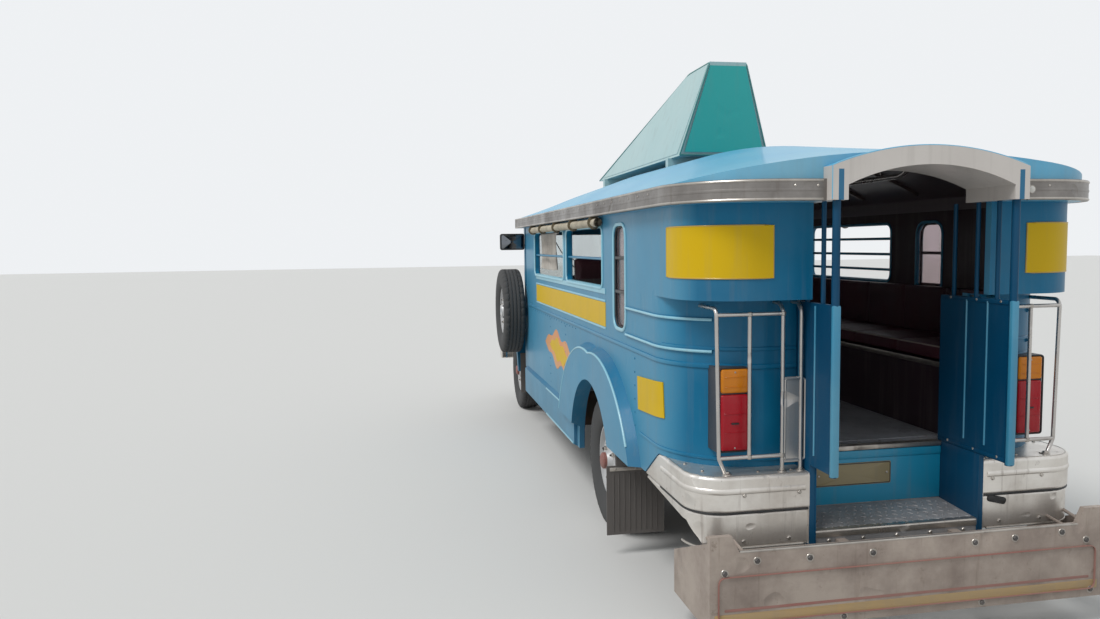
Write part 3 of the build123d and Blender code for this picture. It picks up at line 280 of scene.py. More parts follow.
class Effects:
    """The shared effects of all the finishes."""

    def __init__(self) -> None:
        """Build every group once."""
        self.weather = self._weather()
        self.sheet = self._sheet()
        self.brushed = self._brushed()
        self.weave = self._weave()
        self.hide = self._hide()

    def _weather(self) -> Effect:
        """Fading in clouds, run-down streaks, and road dust that thickens below a height."""
        colours = {
            "Colour": (0.5, 0.5, 0.5, 1), "Faded": (0.6, 0.6, 0.6, 1), "Dust Colour": (0.4, 0.36, 0.3, 1)
        }
        amounts = {"Fade": 0.4, "Streaks": 0.3, "Dust": 0.4, "Dust Height": 0.9, "Scale": 1.0}
        e = Effect("weathering", colours | amounts, ("Colour", "Wear", "Grime"))
        s, i = e.sketch, e.ins
        fade = s.mul(s.span(s.noise(s.mul(i["Scale"], 1.3), 5, 0.6), 0.38, 0.66), i["Fade"])
        colour = s.mix(fade, i["Colour"], i["Faded"])
        streak = s.noise(s.mul(i["Scale"], 1.0), 4, 0.6, (26, 26, 1.6))
        run = s.mul(s.span(streak, 0.52, 0.78), i["Streaks"])
        colour = s.mix(run, colour, s.mix(0.55, colour, i["Dust Colour"]))
        low = s.sub(1.0, s.math("DIVIDE", s.axes()[2], i["Dust Height"]), clamp=True)
        spray = s.noise(s.mul(i["Scale"], 5.0), 6, 0.7)
        rise = s.mul(s.math("POWER", low, 1.4), s.span(spray, 0.3, 0.62, 0.35, 1.25))
        film = s.mul(s.span(s.noise(2.2, 4), 0.45, 0.7, 0.0, 0.22), i["Dust"])
        grime = s.add(s.mul(rise, i["Dust"]), film, clamp=True)
        return e.give(Colour=s.mix(grime, colour, i["Dust Colour"]), Wear=s.most(fade, run), Grime=grime)

    def _sheet(self) -> Effect:
        """Height of beaten sheet metal: wide oil-can waves, small dings and paint texture."""
        e = Effect("beaten_sheet", {"Waves": 1.0, "Dings": 0.4, "Grain": 0.2}, ("Height",))
        s, i = e.sketch, e.ins
        waves = s.mul(s.noise(1.7, 1, 0.4), i["Waves"])
        ding = s.span(s.noise(7.5, 1, 0.4), 0.66, 0.8, 0.0, -1.0)
        grain = s.mul(s.noise(160, 2, 0.6), i["Grain"])
        return e.give(Height=s.add(s.add(waves, s.mul(ding, i["Dings"])), s.mul(grain, 0.02)))

    def _brushed(self) -> Effect:
        """Rubbed bright metal: fine lines round the upright axis, dull blots and brown stain spots."""
        colours = {"Colour": (0.6, 0.6, 0.6, 1), "Dull": (0.3, 0.3, 0.3, 1), "Stain": (0.12, 0.07, 0.04, 1)}
        amounts = {"Blots": 0.5, "Spots": 0.3, "Lines": 0.5}
        e = Effect("rubbed_metal", colours | amounts, ("Colour", "Rough", "Height", "Stained"))
        s, i = e.sketch, e.ins
        line = s.noise(1.0, 3, 0.7, (6, 6, 420))
        blot = s.mul(s.span(s.noise(3.4, 6, 0.65), 0.4, 0.68), i["Blots"])
        spot = s.mul(s.span(s.noise(21, 5, 0.7), 0.62, 0.74), i["Spots"])
        drip = s.mul(s.span(s.noise(1.0, 4, 0.6, (30, 30, 2.2)), 0.6, 0.8), i["Spots"])
        stained = s.most(spot, drip)
        colour = s.mix(blot, i["Colour"], i["Dull"])
        colour = s.mix(s.mul(s.mul(line, i["Lines"]), 0.35), colour, i["Dull"])
        return e.give(
            Colour=s.mix(stained, colour, i["Stain"]),
            Rough=s.add(s.mul(blot, 0.28), s.mul(stained, 0.35), clamp=True),
            Height=s.add(s.mul(line, i["Lines"]), s.mul(stained, -0.4)),
            Stained=stained,
        )

    def _weave(self) -> Effect:
        """Plain weave: two crossed sine waves of threads, their sum as height."""
        e = Effect("plain_weave", {"Threads": 500.0, "Slub": 0.4}, ("Height", "Tone"))
        s, i = e.sketch, e.ins
        x, y, z = s.axes()
        slub = s.mul(s.sub(s.noise(14, 3), 0.5), 6.0)
        along = s.sine(s.add(s.mul(s.add(y, z), i["Threads"]), slub))
        across = s.sine(s.add(s.mul(x, i["Threads"]), slub))
        tone = s.add(s.mul(s.noise(9, 4), i["Slub"]), 0.5, clamp=True)
        return e.give(Height=s.mul(s.add(along, across), 0.25), Tone=tone)

    def _hide(self) -> Effect:
        """Leathercloth grain: cells of a Voronoi pattern sunk at their edges."""
        e = Effect("leathercloth", {"Cells": 260.0, "Creases": 0.5}, ("Height", "Worn"))
        s, i = e.sketch, e.ins
        cell = s.node("TexVoronoi", Vector=s.place(), Scale=i["Cells"], feature="DISTANCE_TO_EDGE").outputs[0]
        crease = s.mul(s.noise(11, 5, 0.6), i["Creases"])
        height = s.add(s.mul(s.span(cell, 0.0, 0.25), 0.35), crease)
        return e.give(Height=height, Worn=s.span(s.noise(2.6, 4), 0.45, 0.7))


@cache
def effects() -> Effects:
    """The one set of shared effects, built on first use."""
    return Effects()


# Finishes


@dataclass(frozen=True)
class Finish:
    """A surface finish; `material` builds it once under its name."""

    name: str

    def material(self) -> bpy.types.Material:
        """The Blender material, made on first use."""
        made = bpy.data.materials.get(self.name)
        if made is None:
            made = bpy.data.materials.new(self.name)
            made.use_nodes = True
            self.dress(Sketch(made.node_tree), made.node_tree.nodes["Principled BSDF"])
        return made

    def dress(self, s: Sketch, shader: bpy.types.Node) -> None:
        """Feed the shader's sockets; each finish has its own."""
        raise NotImplementedError

    def bump(self, s: Sketch, shader: bpy.types.Node, height: Socket, depth: float) -> None:
        """Drive the normal by a height, where a height of one stands this many metres tall."""
        made = s.node("Bump", Strength=1.0, Distance=depth, Height=height)
        s.fill(shader, Normal=made.outputs[0])


@dataclass(frozen=True)
class Paint(Finish):
    """Brushed or sprayed sheet-metal paint with fading, streaks and road dust.

    `shine` is the strength of its reflections, `side` a paler tone that paints
    sunlight on its upright sides, and `inner` the colour of its inner faces,
    which on the body and the roof is partly their own tone and partly painted
    shade. `ceiling` is set for a roof and `lid` for the arch over the entry.
    """

    colour: tuple
    faded: tuple
    rough: float = 0.34
    coat: float = 0.25
    fade: float = 0.45
    streaks: float = 0.35
    dust: float = 0.4
    dust_height: float = 0.8
    waves: float = 1.0
    metal: float = 0.0
    shine: float = 0.5
    side: tuple | None = None
    inner: tuple | None = None
    ceiling: bool = False
    lid: bool = False
    chips: float = 0.35

    def dress(self, s: Sketch, shader: bpy.types.Node) -> None:
        """Weathered colour with its masks, chipped spots, and beaten sheet as bump."""
        tones = [self.colour, self.faded]
        # Painted sunlight: faces turned to the left or right are mixed towards the paler side tone.
        if self.side is not None:
            sun = s.mul(s.span(s.size(s.facing(1)), 0.78, 0.97), 0.6)
            tones = [s.mix(sun, tone, self.side) for tone in tones]
        # Inner faces take the inner colour: on the body and the roof it is partly their own tone and partly
        # painted shade inside the body.
        if self.inner is not None:
            inside = self.inside(s)
            pale = tuple(min(1.0, c * 1.35) for c in self.inner)
            tones = [s.mix(inside, tone, inner) for tone, inner in zip(tones, (self.inner, pale))]
        if self.lid:
            post = self.posts(s)
            tones = [s.mix(post, tone, BLUE) for tone in tones]
        out = effects().weather.put(
            s, Colour=tones[0], Faded=tones[1], Fade=self.fade, Streaks=self.streaks, Dust=self.dust,
            Dust_Height=self.dust_height, Dust_Colour=linear(128, 122, 114), Scale=1.0,
        )
        chip = s.span(s.noise(48, 4, 0.75), 0.69, 0.72)
        chip = s.mul(s.mul(chip, s.span(s.noise(3.1, 2), 0.5, 0.62)), self.chips)
        rough = s.add(s.mul(out["Grime"], 0.5), s.mul(out["Wear"], 0.25))
        s.fill(
            shader,
            Base_Color=s.mix(chip, out["Colour"], linear(70, 62, 56)),
            Roughness=s.add(rough, self.rough, clamp=True),
            Metallic=self.metal,
            Specular_IOR_Level=self.shine,
            Coat_Weight=s.mul(s.sub(1.0, out["Grime"], clamp=True), self.coat),
            Coat_Roughness=0.12,
        )
        height = effects().sheet.put(s, Waves=self.waves, Dings=0.12, Grain=0.5)["Height"]
        self.bump(s, shader, s.sub(height, s.mul(chip, 0.05)), 0.012)

    def posts(self, s: Sketch) -> Socket:
        """Mask of the strips on the arch's legs that carry on the entry posts."""
        post_y, post_half, post_top = 0.373, 0.0105, 1.862
        _, y, z = s.axes()
        off = s.size(s.sub(s.size(y), post_y))
        return s.mul(s.below(off, post_half), s.below(z, post_top))

    def inside(self, s: Sketch) -> Socket:
        """Mask of the inner faces: a lid's look up, a roof's down, and a wall's lie within the inner plan.

        The inner plan's corners differ above and below the step in the rear face.
        """
        if self.lid:
            return s.above(s.facing(2), 0.25)
        x, y, z = s.axes()
        if self.ceiling:
            return s.mul(
                self.within(s, (x, y), (at(0.335), 0.54), 0.318, at(4.35)), s.below(s.facing(2), 0.1)
            )
        upper = s.above(z, 1.375)
        centre = (s.mul_add(upper, -0.23, at(0.48)), s.mul_add(upper, 0.1, 0.525))
        return self.within(s, (x, y), centre, s.mul_add(upper, -0.1, 0.318), at(4.1))

    def within(self, s: Sketch, point: tuple, centre: tuple, radius: object, front: float) -> Socket:
        """Mask of a plan: behind its front, and less than its radius past the rear corner's centre."""
        past_x = s.most(s.sub(centre[0], point[0]), 0.0)
        past_y = s.most(s.sub(s.size(point[1]), centre[1]), 0.0)
        return s.mul(s.below(s.hypot(past_x, past_y), radius), s.below(point[0], front))


@dataclass(frozen=True)
class Bright(Finish):
    """Stainless or galvanised sheet, rubbed, blotched and stained."""

    colour: tuple
    dull: tuple
    rough: float = 0.26
    blots: float = 0.55
    spots: float = 0.35
    lines: float = 0.5
    waves: float = 1.2
    metal: float = 0.9

    def dress(self, s: Sketch, shader: bpy.types.Node) -> None:
        """Rubbed metal colour and roughness, with dents and rub lines as bump."""
        out = effects().brushed.put(
            s, Colour=self.colour, Dull=self.dull, Stain=linear(92, 72, 56), Blots=self.blots,
            Spots=self.spots, Lines=self.lines,
        )
        dusty = effects().weather.put(
            s, Colour=out["Colour"], Faded=self.dull, Fade=0.2, Streaks=0.15, Dust=0.3, Dust_Height=0.55,
            Dust_Colour=linear(140, 132, 122), Scale=1.3,
        )
        rough = s.add(out["Rough"], s.mul(dusty["Grime"], 0.4))
        covered = s.mul(s.add(out["Stained"], dusty["Grime"]), 0.6)
        s.fill(
            shader,
            Base_Color=dusty["Colour"],
            Roughness=s.add(rough, self.rough, clamp=True),
            Metallic=s.sub(self.metal, covered, clamp=True),
        )
        sheet = effects().sheet.put(s, Waves=self.waves, Dings=0.7, Grain=0.2)["Height"]
        self.bump(s, shader, s.add(sheet, s.mul(out["Height"], 0.006)), 0.014)


@dataclass(frozen=True)
class Rubber(Finish):
    """Tyre or flap rubber with dust in its grain."""

    colour: tuple = (0.018, 0.018, 0.019, 1.0)
    dust: float = 0.55
    dust_height: float = 0.75

    def dress(self, s: Sketch, shader: bpy.types.Node) -> None:
        """Dusty black with a fine mottled grain."""
        out = effects().weather.put(
            s, Colour=self.colour, Faded=linear(74, 72, 70), Fade=0.5, Streaks=0.1, Dust=self.dust,
            Dust_Height=self.dust_height, Dust_Colour=linear(126, 119, 110), Scale=2.2,
        )
        s.fill(shader, Base_Color=out["Colour"], Roughness=s.add(s.mul(out["Grime"], 0.3), 0.66, clamp=True))
        self.bump(s, shader, s.add(s.noise(90, 4, 0.7), s.mul(s.noise(12, 3), 0.8)), 0.0016)


@dataclass(frozen=True)
class Glazing(Finish):
    """Clear pane with dust in streaks, kept thin and see-through."""

    tint: tuple = (0.8, 0.86, 0.86, 1.0)
    dusty: float = 0.25

    def dress(self, s: Sketch, shader: bpy.types.Node) -> None:
        """Transmission stays plain; dust is in colour and roughness."""
        dirt = s.mul(s.span(s.noise(5, 5, 0.6, (1, 1, 0.5)), 0.4, 0.75), self.dusty)
        s.fill(
            shader,
            Base_Color=s.mix(dirt, self.tint, linear(176, 166, 160)),
            Roughness=s.add(s.mul(dirt, 0.5), 0.04),
            Transmission_Weight=0.85,
            IOR=1.3,
        )


@dataclass(frozen=True)
class Lens(Finish):
    """Moulded coloured lens: fine upright flutes under a smooth skin."""

    colour: tuple
    flutes: float = 1900.0
    lift: float = 0.25

    def dress(self, s: Sketch, shader: bpy.types.Node) -> None:
        """Darker in the flutes' troughs, dusty, with a little of its own colour lit up."""
        x, y, z = s.axes()
        wave, across = (s.sine(s.mul(v, self.flutes)) for v in (s.add(x, y), z))
        cells = s.mul(s.add(wave, across), 0.25)
        dark = (*(c * 0.6 for c in self.colour[:3]), 1.0)
        tone = s.mix(s.add(cells, 0.5), dark, self.colour)
        dust = s.mul(s.span(s.noise(9, 5), 0.4, 0.7), 0.08)
        s.fill(
            shader,
            Base_Color=s.mix(dust, tone, linear(150, 140, 130)),
            Emission_Color=tone,
            Emission_Strength=self.lift * 0.3,
            Roughness=s.add(s.mul(dust, 1.2), 0.1),
            Coat_Weight=0.15,
            Specular_IOR_Level=0.3,
        )
        self.bump(s, shader, cells, 0.0003)


@dataclass(frozen=True)
class Canvas(Finish):
    """Tarpaulin cloth: woven, sun-bleached, grey along its creases."""

    colour: tuple
    soiled: tuple
    threads: float = 900.0

    def dress(self, s: Sketch, shader: bpy.types.Node) -> None:
        """Weave tone, soil in clouds and thread bump."""
        out = effects().weave.put(s, Threads=self.threads, Slub=0.5)
        soil = s.span(s.noise(5.5, 5, 0.65), 0.4, 0.7)
        colour = s.mix(s.mul(soil, 0.75), self.colour, self.soiled)
        s.fill(
            shader,
            Base_Color=s.mix(s.mul(out["Tone"], 0.3), colour, self.soiled),
            Roughness=s.span(out["Tone"], 0.0, 1.0, 0.78, 0.95),
            Sheen_Weight=0.15,
        )
        self.bump(s, shader, s.add(out["Height"], s.mul(s.noise(16, 4, 0.6), 3.0)), 0.0016)


@dataclass(frozen=True)
class Leathercloth(Finish):
    """Vinyl seat cover with pressed grain, worn pale on its crown."""

    colour: tuple
    worn: tuple
    cells: float = 240.0

    def dress(self, s: Sketch, shader: bpy.types.Node) -> None:
        """Grain and creases as bump; wear lightens and dulls it."""
        out = effects().hide.put(s, Cells=self.cells, Creases=0.6)
        s.fill(
            shader,
            Base_Color=s.mix(s.mul(out["Worn"], 0.6), self.colour, self.worn),
            Roughness=s.span(out["Worn"], 0.0, 1.0, 0.36, 0.6),
        )
        self.bump(s, shader, out["Height"], 0.0022)


@dataclass(frozen=True)
class Plastic(Finish):
    """Moulded or painted small parts with a fine pebbled skin."""

    colour: tuple
    rough: float = 0.5
    metal: float = 0.0

    def dress(self, s: Sketch, shader: bpy.types.Node) -> None:
        """Mottled tone, dust on top and pebble bump."""
        pale = (*(min(1.0, c * 1.8 + 0.02) for c in self.colour[:3]), 1.0)
        cloud = s.span(s.noise(7, 5, 0.6), 0.4, 0.72)
        s.fill(
            shader,
            Base_Color=s.mix(s.mul(cloud, 0.4), self.colour, pale),
            Roughness=s.add(s.mul(cloud, 0.2), self.rough, clamp=True),
            Metallic=self.metal,
        )
        self.bump(s, shader, s.noise(240, 3, 0.6), 0.0006)


@dataclass(frozen=True)
class Rusty(Finish):
    """Underbody metal: black paint over flaking brown rust."""

    colour: tuple
    rust: tuple = (0.13, 0.045, 0.016, 1.0)
    share: float = 0.5

    def dress(self, s: Sketch, shader: bpy.types.Node) -> None:
        """Rust where clouds pass a threshold, raised and rough, under road dust."""
        cloud = s.noise(6.5, 7, 0.7)
        mask = s.mul(s.span(cloud, 0.47, 0.56), self.share)
        out = effects().weather.put(
            s, Colour=s.mix(mask, self.colour, self.rust), Faded=linear(92, 84, 76), Fade=0.3, Streaks=0.2,
            Dust=0.6, Dust_Height=0.9, Dust_Colour=linear(120, 110, 98), Scale=1.6,
        )
        s.fill(
            shader,
            Base_Color=out["Colour"],
            Roughness=s.add(s.mul(mask, 0.35), 0.52, clamp=True),
            Metallic=s.mul(s.sub(1.0, mask, clamp=True), 0.2),
        )
        self.bump(s, shader, s.add(cloud, s.mul(mask, 0.3)), 0.004)


BLUE = linear(0, 98, 136)
BLUE_FADED = linear(30, 122, 158)
# Dark inner colours of the body walls and the ceiling: partly their own tone, partly painted shade inside the
# body.
MAROON_AND_SHADE = linear(40, 14, 24)
CEILING_TONE_AND_SHADE = linear(84, 72, 76)

PAINT = Paint(
    "body_blue_paint",
    BLUE,
    BLUE_FADED,
    fade=0.45,
    streaks=0.3,
    dust=0.5,
    coat=0.06,
    shine=0.2,
    # paler tone of the upright sides: painted sunlight
    side=linear(84, 150, 180),
    inner=MAROON_AND_SHADE,
)
ROOF_PAINT = Paint(
    "roof_blue_paint",
    linear(70, 158, 196),
    linear(140, 188, 206),
    rough=0.42,
    fade=0.6,
    streaks=0.25,
    dust=0.25,
    inner=CEILING_TONE_AND_SHADE,
    ceiling=True,
)
TRIM_BLUE = Paint(
    "trim_blue_paint",
    BLUE,
    BLUE_FADED,
    rough=0.3,
    waves=0.2,
    fade=0.4,
    streaks=0.2,
    dust=0.3,
    coat=0.06,
    shine=0.2,
    # paler tone of the upright sides: painted sunlight
    side=linear(84, 150, 180),
)
# Lighter copy of the body blue on the riser: painted light that lifts the shadow the riser sits in.
RISER_BLUE_LIGHTENED = Paint(
    "riser_blue_lightened_paint",
    linear(2, 138, 176),
    linear(30, 140, 172),
    rough=0.4,
    waves=0.4,
    dust=0.3,
    dust_height=0.6,
)
# Darker copy of the body blue on the entry screens, their strips and the step's side: painted shade of the
# entry.
SCREEN_BLUE_SHADED = Paint(
    "entry_screen_shaded_paint",
    linear(0, 62, 94),
    linear(4, 80, 114),
    rough=0.42,
    coat=0.04,
    shine=0.2,
    fade=0.4,
    streaks=0.15,
    dust=0.1,
    waves=0.7,
)
FRAME_BLACK = Rusty("frame_black_rusty", linear(38, 36, 35))
AXLE_BLACK = Rusty("axle_black_rusty", linear(44, 42, 40), share=0.6)
EXHAUST = Rusty("exhaust_scaled_steel", linear(112, 104, 96), share=0.85)
ENGINE = Rusty("engine_cast_iron", linear(78, 80, 82), share=0.35)
STAINLESS = Bright("worn_stainless", linear(196, 190, 182), linear(128, 122, 116))
BAND = Bright(
    "roof_band_stainless", linear(150, 146, 142), linear(100, 95, 92), rough=0.34, blots=0.7, spots=0.45
)
BUMPER = Bright(
    "bumper_stainless",
    linear(236, 232, 226),
    linear(176, 166, 156),
    rough=0.3,
    blots=0.6,
    spots=0.55,
    waves=1.9,
    metal=0.82,
)
BOARD = Bright(
    "board_aluminium",
    linear(176, 163, 152),
    linear(128, 114, 106),
    rough=0.5,
    blots=0.85,
    spots=0.6,
    waves=1.2,
    metal=0.3,
)
TREAD = Bright(
    "tread_plate", linear(176, 175, 176), linear(122, 120, 120), rough=0.45, blots=0.7, spots=0.4, metal=0.4
)
FLOOR = Bright(
    "floor_plate", linear(164, 165, 170), linear(120, 121, 126), rough=0.5, blots=0.8, spots=0.4, metal=0.3
)
TUBE = Bright(
    "bright_tube", linear(204, 200, 196), linear(150, 146, 142), rough=0.24, blots=0.4, spots=0.25, waves=0.2
)
RIM = Bright(
    "wheel_steel",
    linear(170, 168, 166),
    linear(120, 116, 112),
    rough=0.36,
    blots=0.6,
    spots=0.6,
    waves=0.3,
    metal=0.75,
)
TYRE = Rubber("tyre_rubber")
FLAP = Rubber("flap_rubber", linear(62, 56, 52), dust=0.7)
GLASS = Glazing("clear_glass")
PANE = Glazing("dusty_pane", linear(196, 178, 182), 0.6)
AMBER = Lens("amber_lens", linear(222, 132, 0))
RED = Lens("red_lens", linear(176, 0, 28))
CLEAR = Lens("headlamp_lens", linear(214, 218, 220), 900.0, 0.1)
CANVAS = Canvas("curtain_canvas", linear(206, 196, 172), linear(136, 124, 106))
SEAT = Leathercloth("bench_leathercloth", linear(66, 22, 34), linear(104, 52, 60))
SEAT_BACK = Leathercloth("backrest_leathercloth", linear(58, 20, 32), linear(92, 44, 54))
DASH = Plastic("dash_black", linear(30, 30, 32))
FRAME_PAINT = Plastic("seat_frame_black", linear(34, 32, 32), 0.42, 0.3)
GRIP = Plastic("handwheel_black", linear(24, 24, 25), 0.36)
SIGN = Paint(
    "sign_green",
    linear(4, 164, 158),
    linear(50, 176, 170),
    rough=0.36,
    waves=0.5,
    dust=0.1,
    streaks=0.15,
    fade=0.3,
)

ARCH = Paint(
    "entry_arch_enamel",
    linear(206, 200, 194),
    linear(180, 172, 166),
    rough=0.36,
    waves=0.4,
    dust=0.2,
    streaks=0.4,
    inner=linear(70, 158, 196),
    lid=True,
)
BENCH_PAINT = Paint(
    "bench_riser_paint",
    linear(34, 16, 28),
    linear(54, 30, 40),
    rough=0.5,
    waves=0.5,
    dust=0.2,
    dust_height=1.0,
)
# Pale blue of the window frames, sills and trim lines, also used for painted highlights on the corner beads,
# the fender's edge and the ledge's edges.
PALE_TRIM_AND_HIGHLIGHT = Paint(
    "pale_trim_and_highlight_paint", linear(120, 184, 204), linear(176, 208, 214), rough=0.36, waves=0.1, fade=0.5
)
PALE_EDGE = Paint("screen_edge_paint", linear(48, 128, 160), linear(110, 168, 188), rough=0.38, waves=0.1)
YELLOW = Paint(
    "sign_yellow",
    linear(206, 168, 0),
    linear(200, 170, 10),
    rough=0.42,
    coat=0.03,
    shine=0.2,
    waves=0.2,
    dust=0.1,
    streaks=0.25,
    fade=0.5,
)
YELLOW_EDGE = Paint("sign_yellow_edge", linear(190, 152, 24), linear(180, 158, 80), rough=0.45, waves=0.1)
ORANGE = Paint("painted_orange", linear(206, 118, 40), linear(206, 160, 100), rough=0.42, waves=0.2, fade=0.7)
OCHRE = Paint("painted_ochre", linear(176, 142, 84), linear(160, 140, 104), rough=0.5, waves=0.1, fade=0.7)
FADED_RED = Paint(
    "painted_faded_red", linear(140, 74, 66), linear(150, 112, 100), rough=0.5, waves=0.1, fade=0.8
)
FADED_PLATE = Paint(
    "number_plate_blank",
    linear(150, 136, 98),
    linear(120, 110, 84),
    rough=0.45,
    waves=0.2,
    dust=0.5,
    streaks=0.6,
)
WHITE = Paint("white_enamel", linear(214, 212, 206), linear(186, 184, 178), rough=0.34, waves=0.1, dust=0.25)
SKIN = TRIM_BLUE
CEILING_TRIM = Paint(
    "ceiling_batten_paint", linear(64, 54, 52), linear(88, 74, 68), rough=0.5, waves=0.1, dust=0.1
)
SIGN_PALE = Paint(
    "sign_pale_face",
    linear(158, 190, 190),
    linear(186, 204, 202),
    rough=0.4,
    waves=0.4,
    dust=0.1,
    streaks=0.4,
)
SIGN_EDGE = Paint(
    "sign_edge_paint", linear(30, 112, 110), linear(110, 150, 146), rough=0.4, waves=0.1, dust=0.1
)
SLATE = Bright(
    "dark_plated_steel", linear(92, 90, 90), linear(62, 60, 60), rough=0.42, spots=0.5, waves=0.1, metal=0.7
)
# Black moulded trim, also used for painted shadow in the bumper's seam and under the arch's bead, and for
# painted shade in the bumper's slot.
BLACK_TRIM_AND_SHADE = Plastic("black_trim_and_painted_shade", linear(26, 26, 27), 0.45)
STRAP = Canvas("strap_webbing", linear(120, 108, 84), linear(84, 74, 60), 1400.0)
CLOTH = Canvas("window_cloth", linear(214, 206, 196), linear(168, 158, 148), 1100.0)
PIPING = Leathercloth("piping_vinyl", linear(150, 138, 130), linear(170, 160, 150), 400.0)
HUB_RED = Paint("hub_red_paint", linear(132, 46, 40), linear(140, 96, 84), rough=0.45, waves=0.1, dust=0.6)
HOUSING = Plastic("lamp_housing", linear(48, 50, 56), 0.4)
SILVERED = Bright(
    "silvered_glass",
    linear(120, 124, 130),
    linear(100, 104, 110),
    rough=0.04,
    blots=0.1,
    spots=0.1,
    lines=0.0,
    waves=0.0,
    metal=1.0,
)

NODE_FINISHES: dict[Finish, str] = {
    FRAME_BLACK: "chassis_frame leaf_springs propeller_shaft fuel_tank",
    AXLE_BLACK: "rear_axle front_axle knuckle_left knuckle_right",
    ENGINE: "engine_block",
    EXHAUST: "exhaust",
    PAINT: "body_side_left body_side_right cowl hood front_fender_left front_fender_right cab_door",
    ROOF_PAINT: "roof_shell",
    TRIM_BLUE: "window_bars door_hinges",
    SCREEN_BLUE_SHADED: "entry_wing_left entry_wing_right",
    STAINLESS: "grille",
    ARCH: "rear_arch",
    BENCH_PAINT: "bench_frames",
    BAND: "roof_band",
    BUMPER: "rear_bumper_left rear_bumper_right front_bumper",
    BOARD: "rear_board",
    TREAD: "entry_step",
    FLOOR: "floor_deck",
    TUBE: "lamp_guards",
    RIM: "rim_front_left rim_front_right rim_rear_left rim_rear_right spare_rim",
    TYRE: "tyre_front_left tyre_front_right tyre_rear_left tyre_rear_right spare_tyre",
    FLAP: "mud_flaps",
    GLASS: "windshield_glass",
    PANE: "side_glass",
    HOUSING: "tail_lamps",
    CLEAR: "headlamps",
    CANVAS: "curtain_rolls",
    SEAT: "bench_cushions cab_seats",
    SEAT_BACK: "bench_backrests",
    DASH: "dashboard mirrors",
    FRAME_PAINT: "cab_seat_frames",
    GRIP: "steering_wheel",
    SIGN_PALE: "roof_sign",
}


def dress_nodes(frame: dict) -> None:
    """Give every CAD node its finish."""
    for finish, names in NODE_FINISHES.items():
        for name in names.split():
            mesh = frame["nodes"][name].data
            mesh.materials.clear()
            mesh.materials.append(finish.material())
    bare = [n for n in frame["nodes"] if not frame["nodes"][n].data.materials]
    log.info("finished %d nodes, bare %s", len(frame["nodes"]), bare)


# Stage


@dataclass
class Studio:
    """Pale floor, soft light and the photograph's camera."""

    focal_pixels: float = 830.7239
    image_width: float = 1100.0
    sensor: float = 36.0
    eye: tuple[float, float, float] = (-5.8048, 1.9686, 1.5998)
    yaw: float = 0.1813
    pitch: float = 0.0776
    roll: float = -0.0131
    floor_reach: float = 60.0
    sky: float = 0.62
    key: float = 1.9

    def camera(self) -> None:
        """Aim the camera: yaw to the right and pitch down from +X, then roll about the view."""
        level_run = math.cos(self.pitch)
        forward = Vector(
            (math.cos(self.yaw) * level_run, -math.sin(self.yaw) * level_run, -math.sin(self.pitch))
        )
        level = Vector((-math.sin(self.yaw), -math.cos(self.yaw), 0))
        upright = level.cross(forward)
        right = level * math.cos(self.roll) + upright * math.sin(self.roll)
        up = upright * math.cos(self.roll) - level * math.sin(self.roll)
        data = bpy.data.cameras.new("photo_camera")
        data.sensor_width = self.sensor
        data.lens = self.sensor * self.focal_pixels / self.image_width
        data.clip_end = 400
        made = bpy.data.objects.new("photo_camera", data)
        made.matrix_world = Matrix.Translation(self.eye) @ Matrix((right, up, -forward)).transposed().to_4x4()
        bpy.context.scene.collection.objects.link(made)
        bpy.context.scene.camera = made

    def light(self) -> None:
        """One wide sun from the left and above, and an even sky that cameras see as near white."""
        lamp = bpy.data.lights.new("soft_sun", "SUN")
        lamp.energy = self.key
        lamp.angle = math.radians(24)
        sun = bpy.data.objects.new("soft_sun", lamp)
        sun.rotation_euler = Vector((-0.35, 0.75, 1.15)).to_track_quat("Z", "Y").to_euler()
        bpy.context.scene.collection.objects.link(sun)
        world = bpy.data.worlds.new("studio")
        world.use_nodes = True
        bpy.context.scene.world = world
        s = Sketch(world.node_tree)
        back = world.node_tree.nodes["Background"]
        path = world.node_tree.nodes.new("ShaderNodeLightPath").outputs
        seen = s.most(path["Is Camera Ray"], s.most(path["Is Glossy Ray"], path["Is Transmission Ray"]))
        s.fill(
            back,
            Color=s.mix(seen, (0.93, 0.97, 1.0, 1), (0.86, 0.88, 0.9, 1)),
            Strength=s.add(self.sky, s.mul(seen, 1.0 - self.sky)),
        )

    def floor(self) -> None:
        """A wide pale sheet at ground height."""
        r = self.floor_reach
        mesh = bpy.data.meshes.new("studio_floor")
        mesh.from_pydata([(-r, -r, 0), (r, -r, 0), (r, r, 0), (-r, r, 0)], [], [(0, 1, 2, 3)])
        made = bpy.data.objects.new("studio_floor", mesh)
        bpy.context.scene.collection.objects.link(made)
        finish = bpy.data.materials.new("studio_floor")
        finish.use_nodes = True
        shader = finish.node_tree.nodes["Principled BSDF"]
        shader.inputs["Base Color"].default_value = linear(206, 205, 202)
        shader.inputs["Roughness"].default_value = 0.9
        mesh.materials.append(finish)


# Shapes


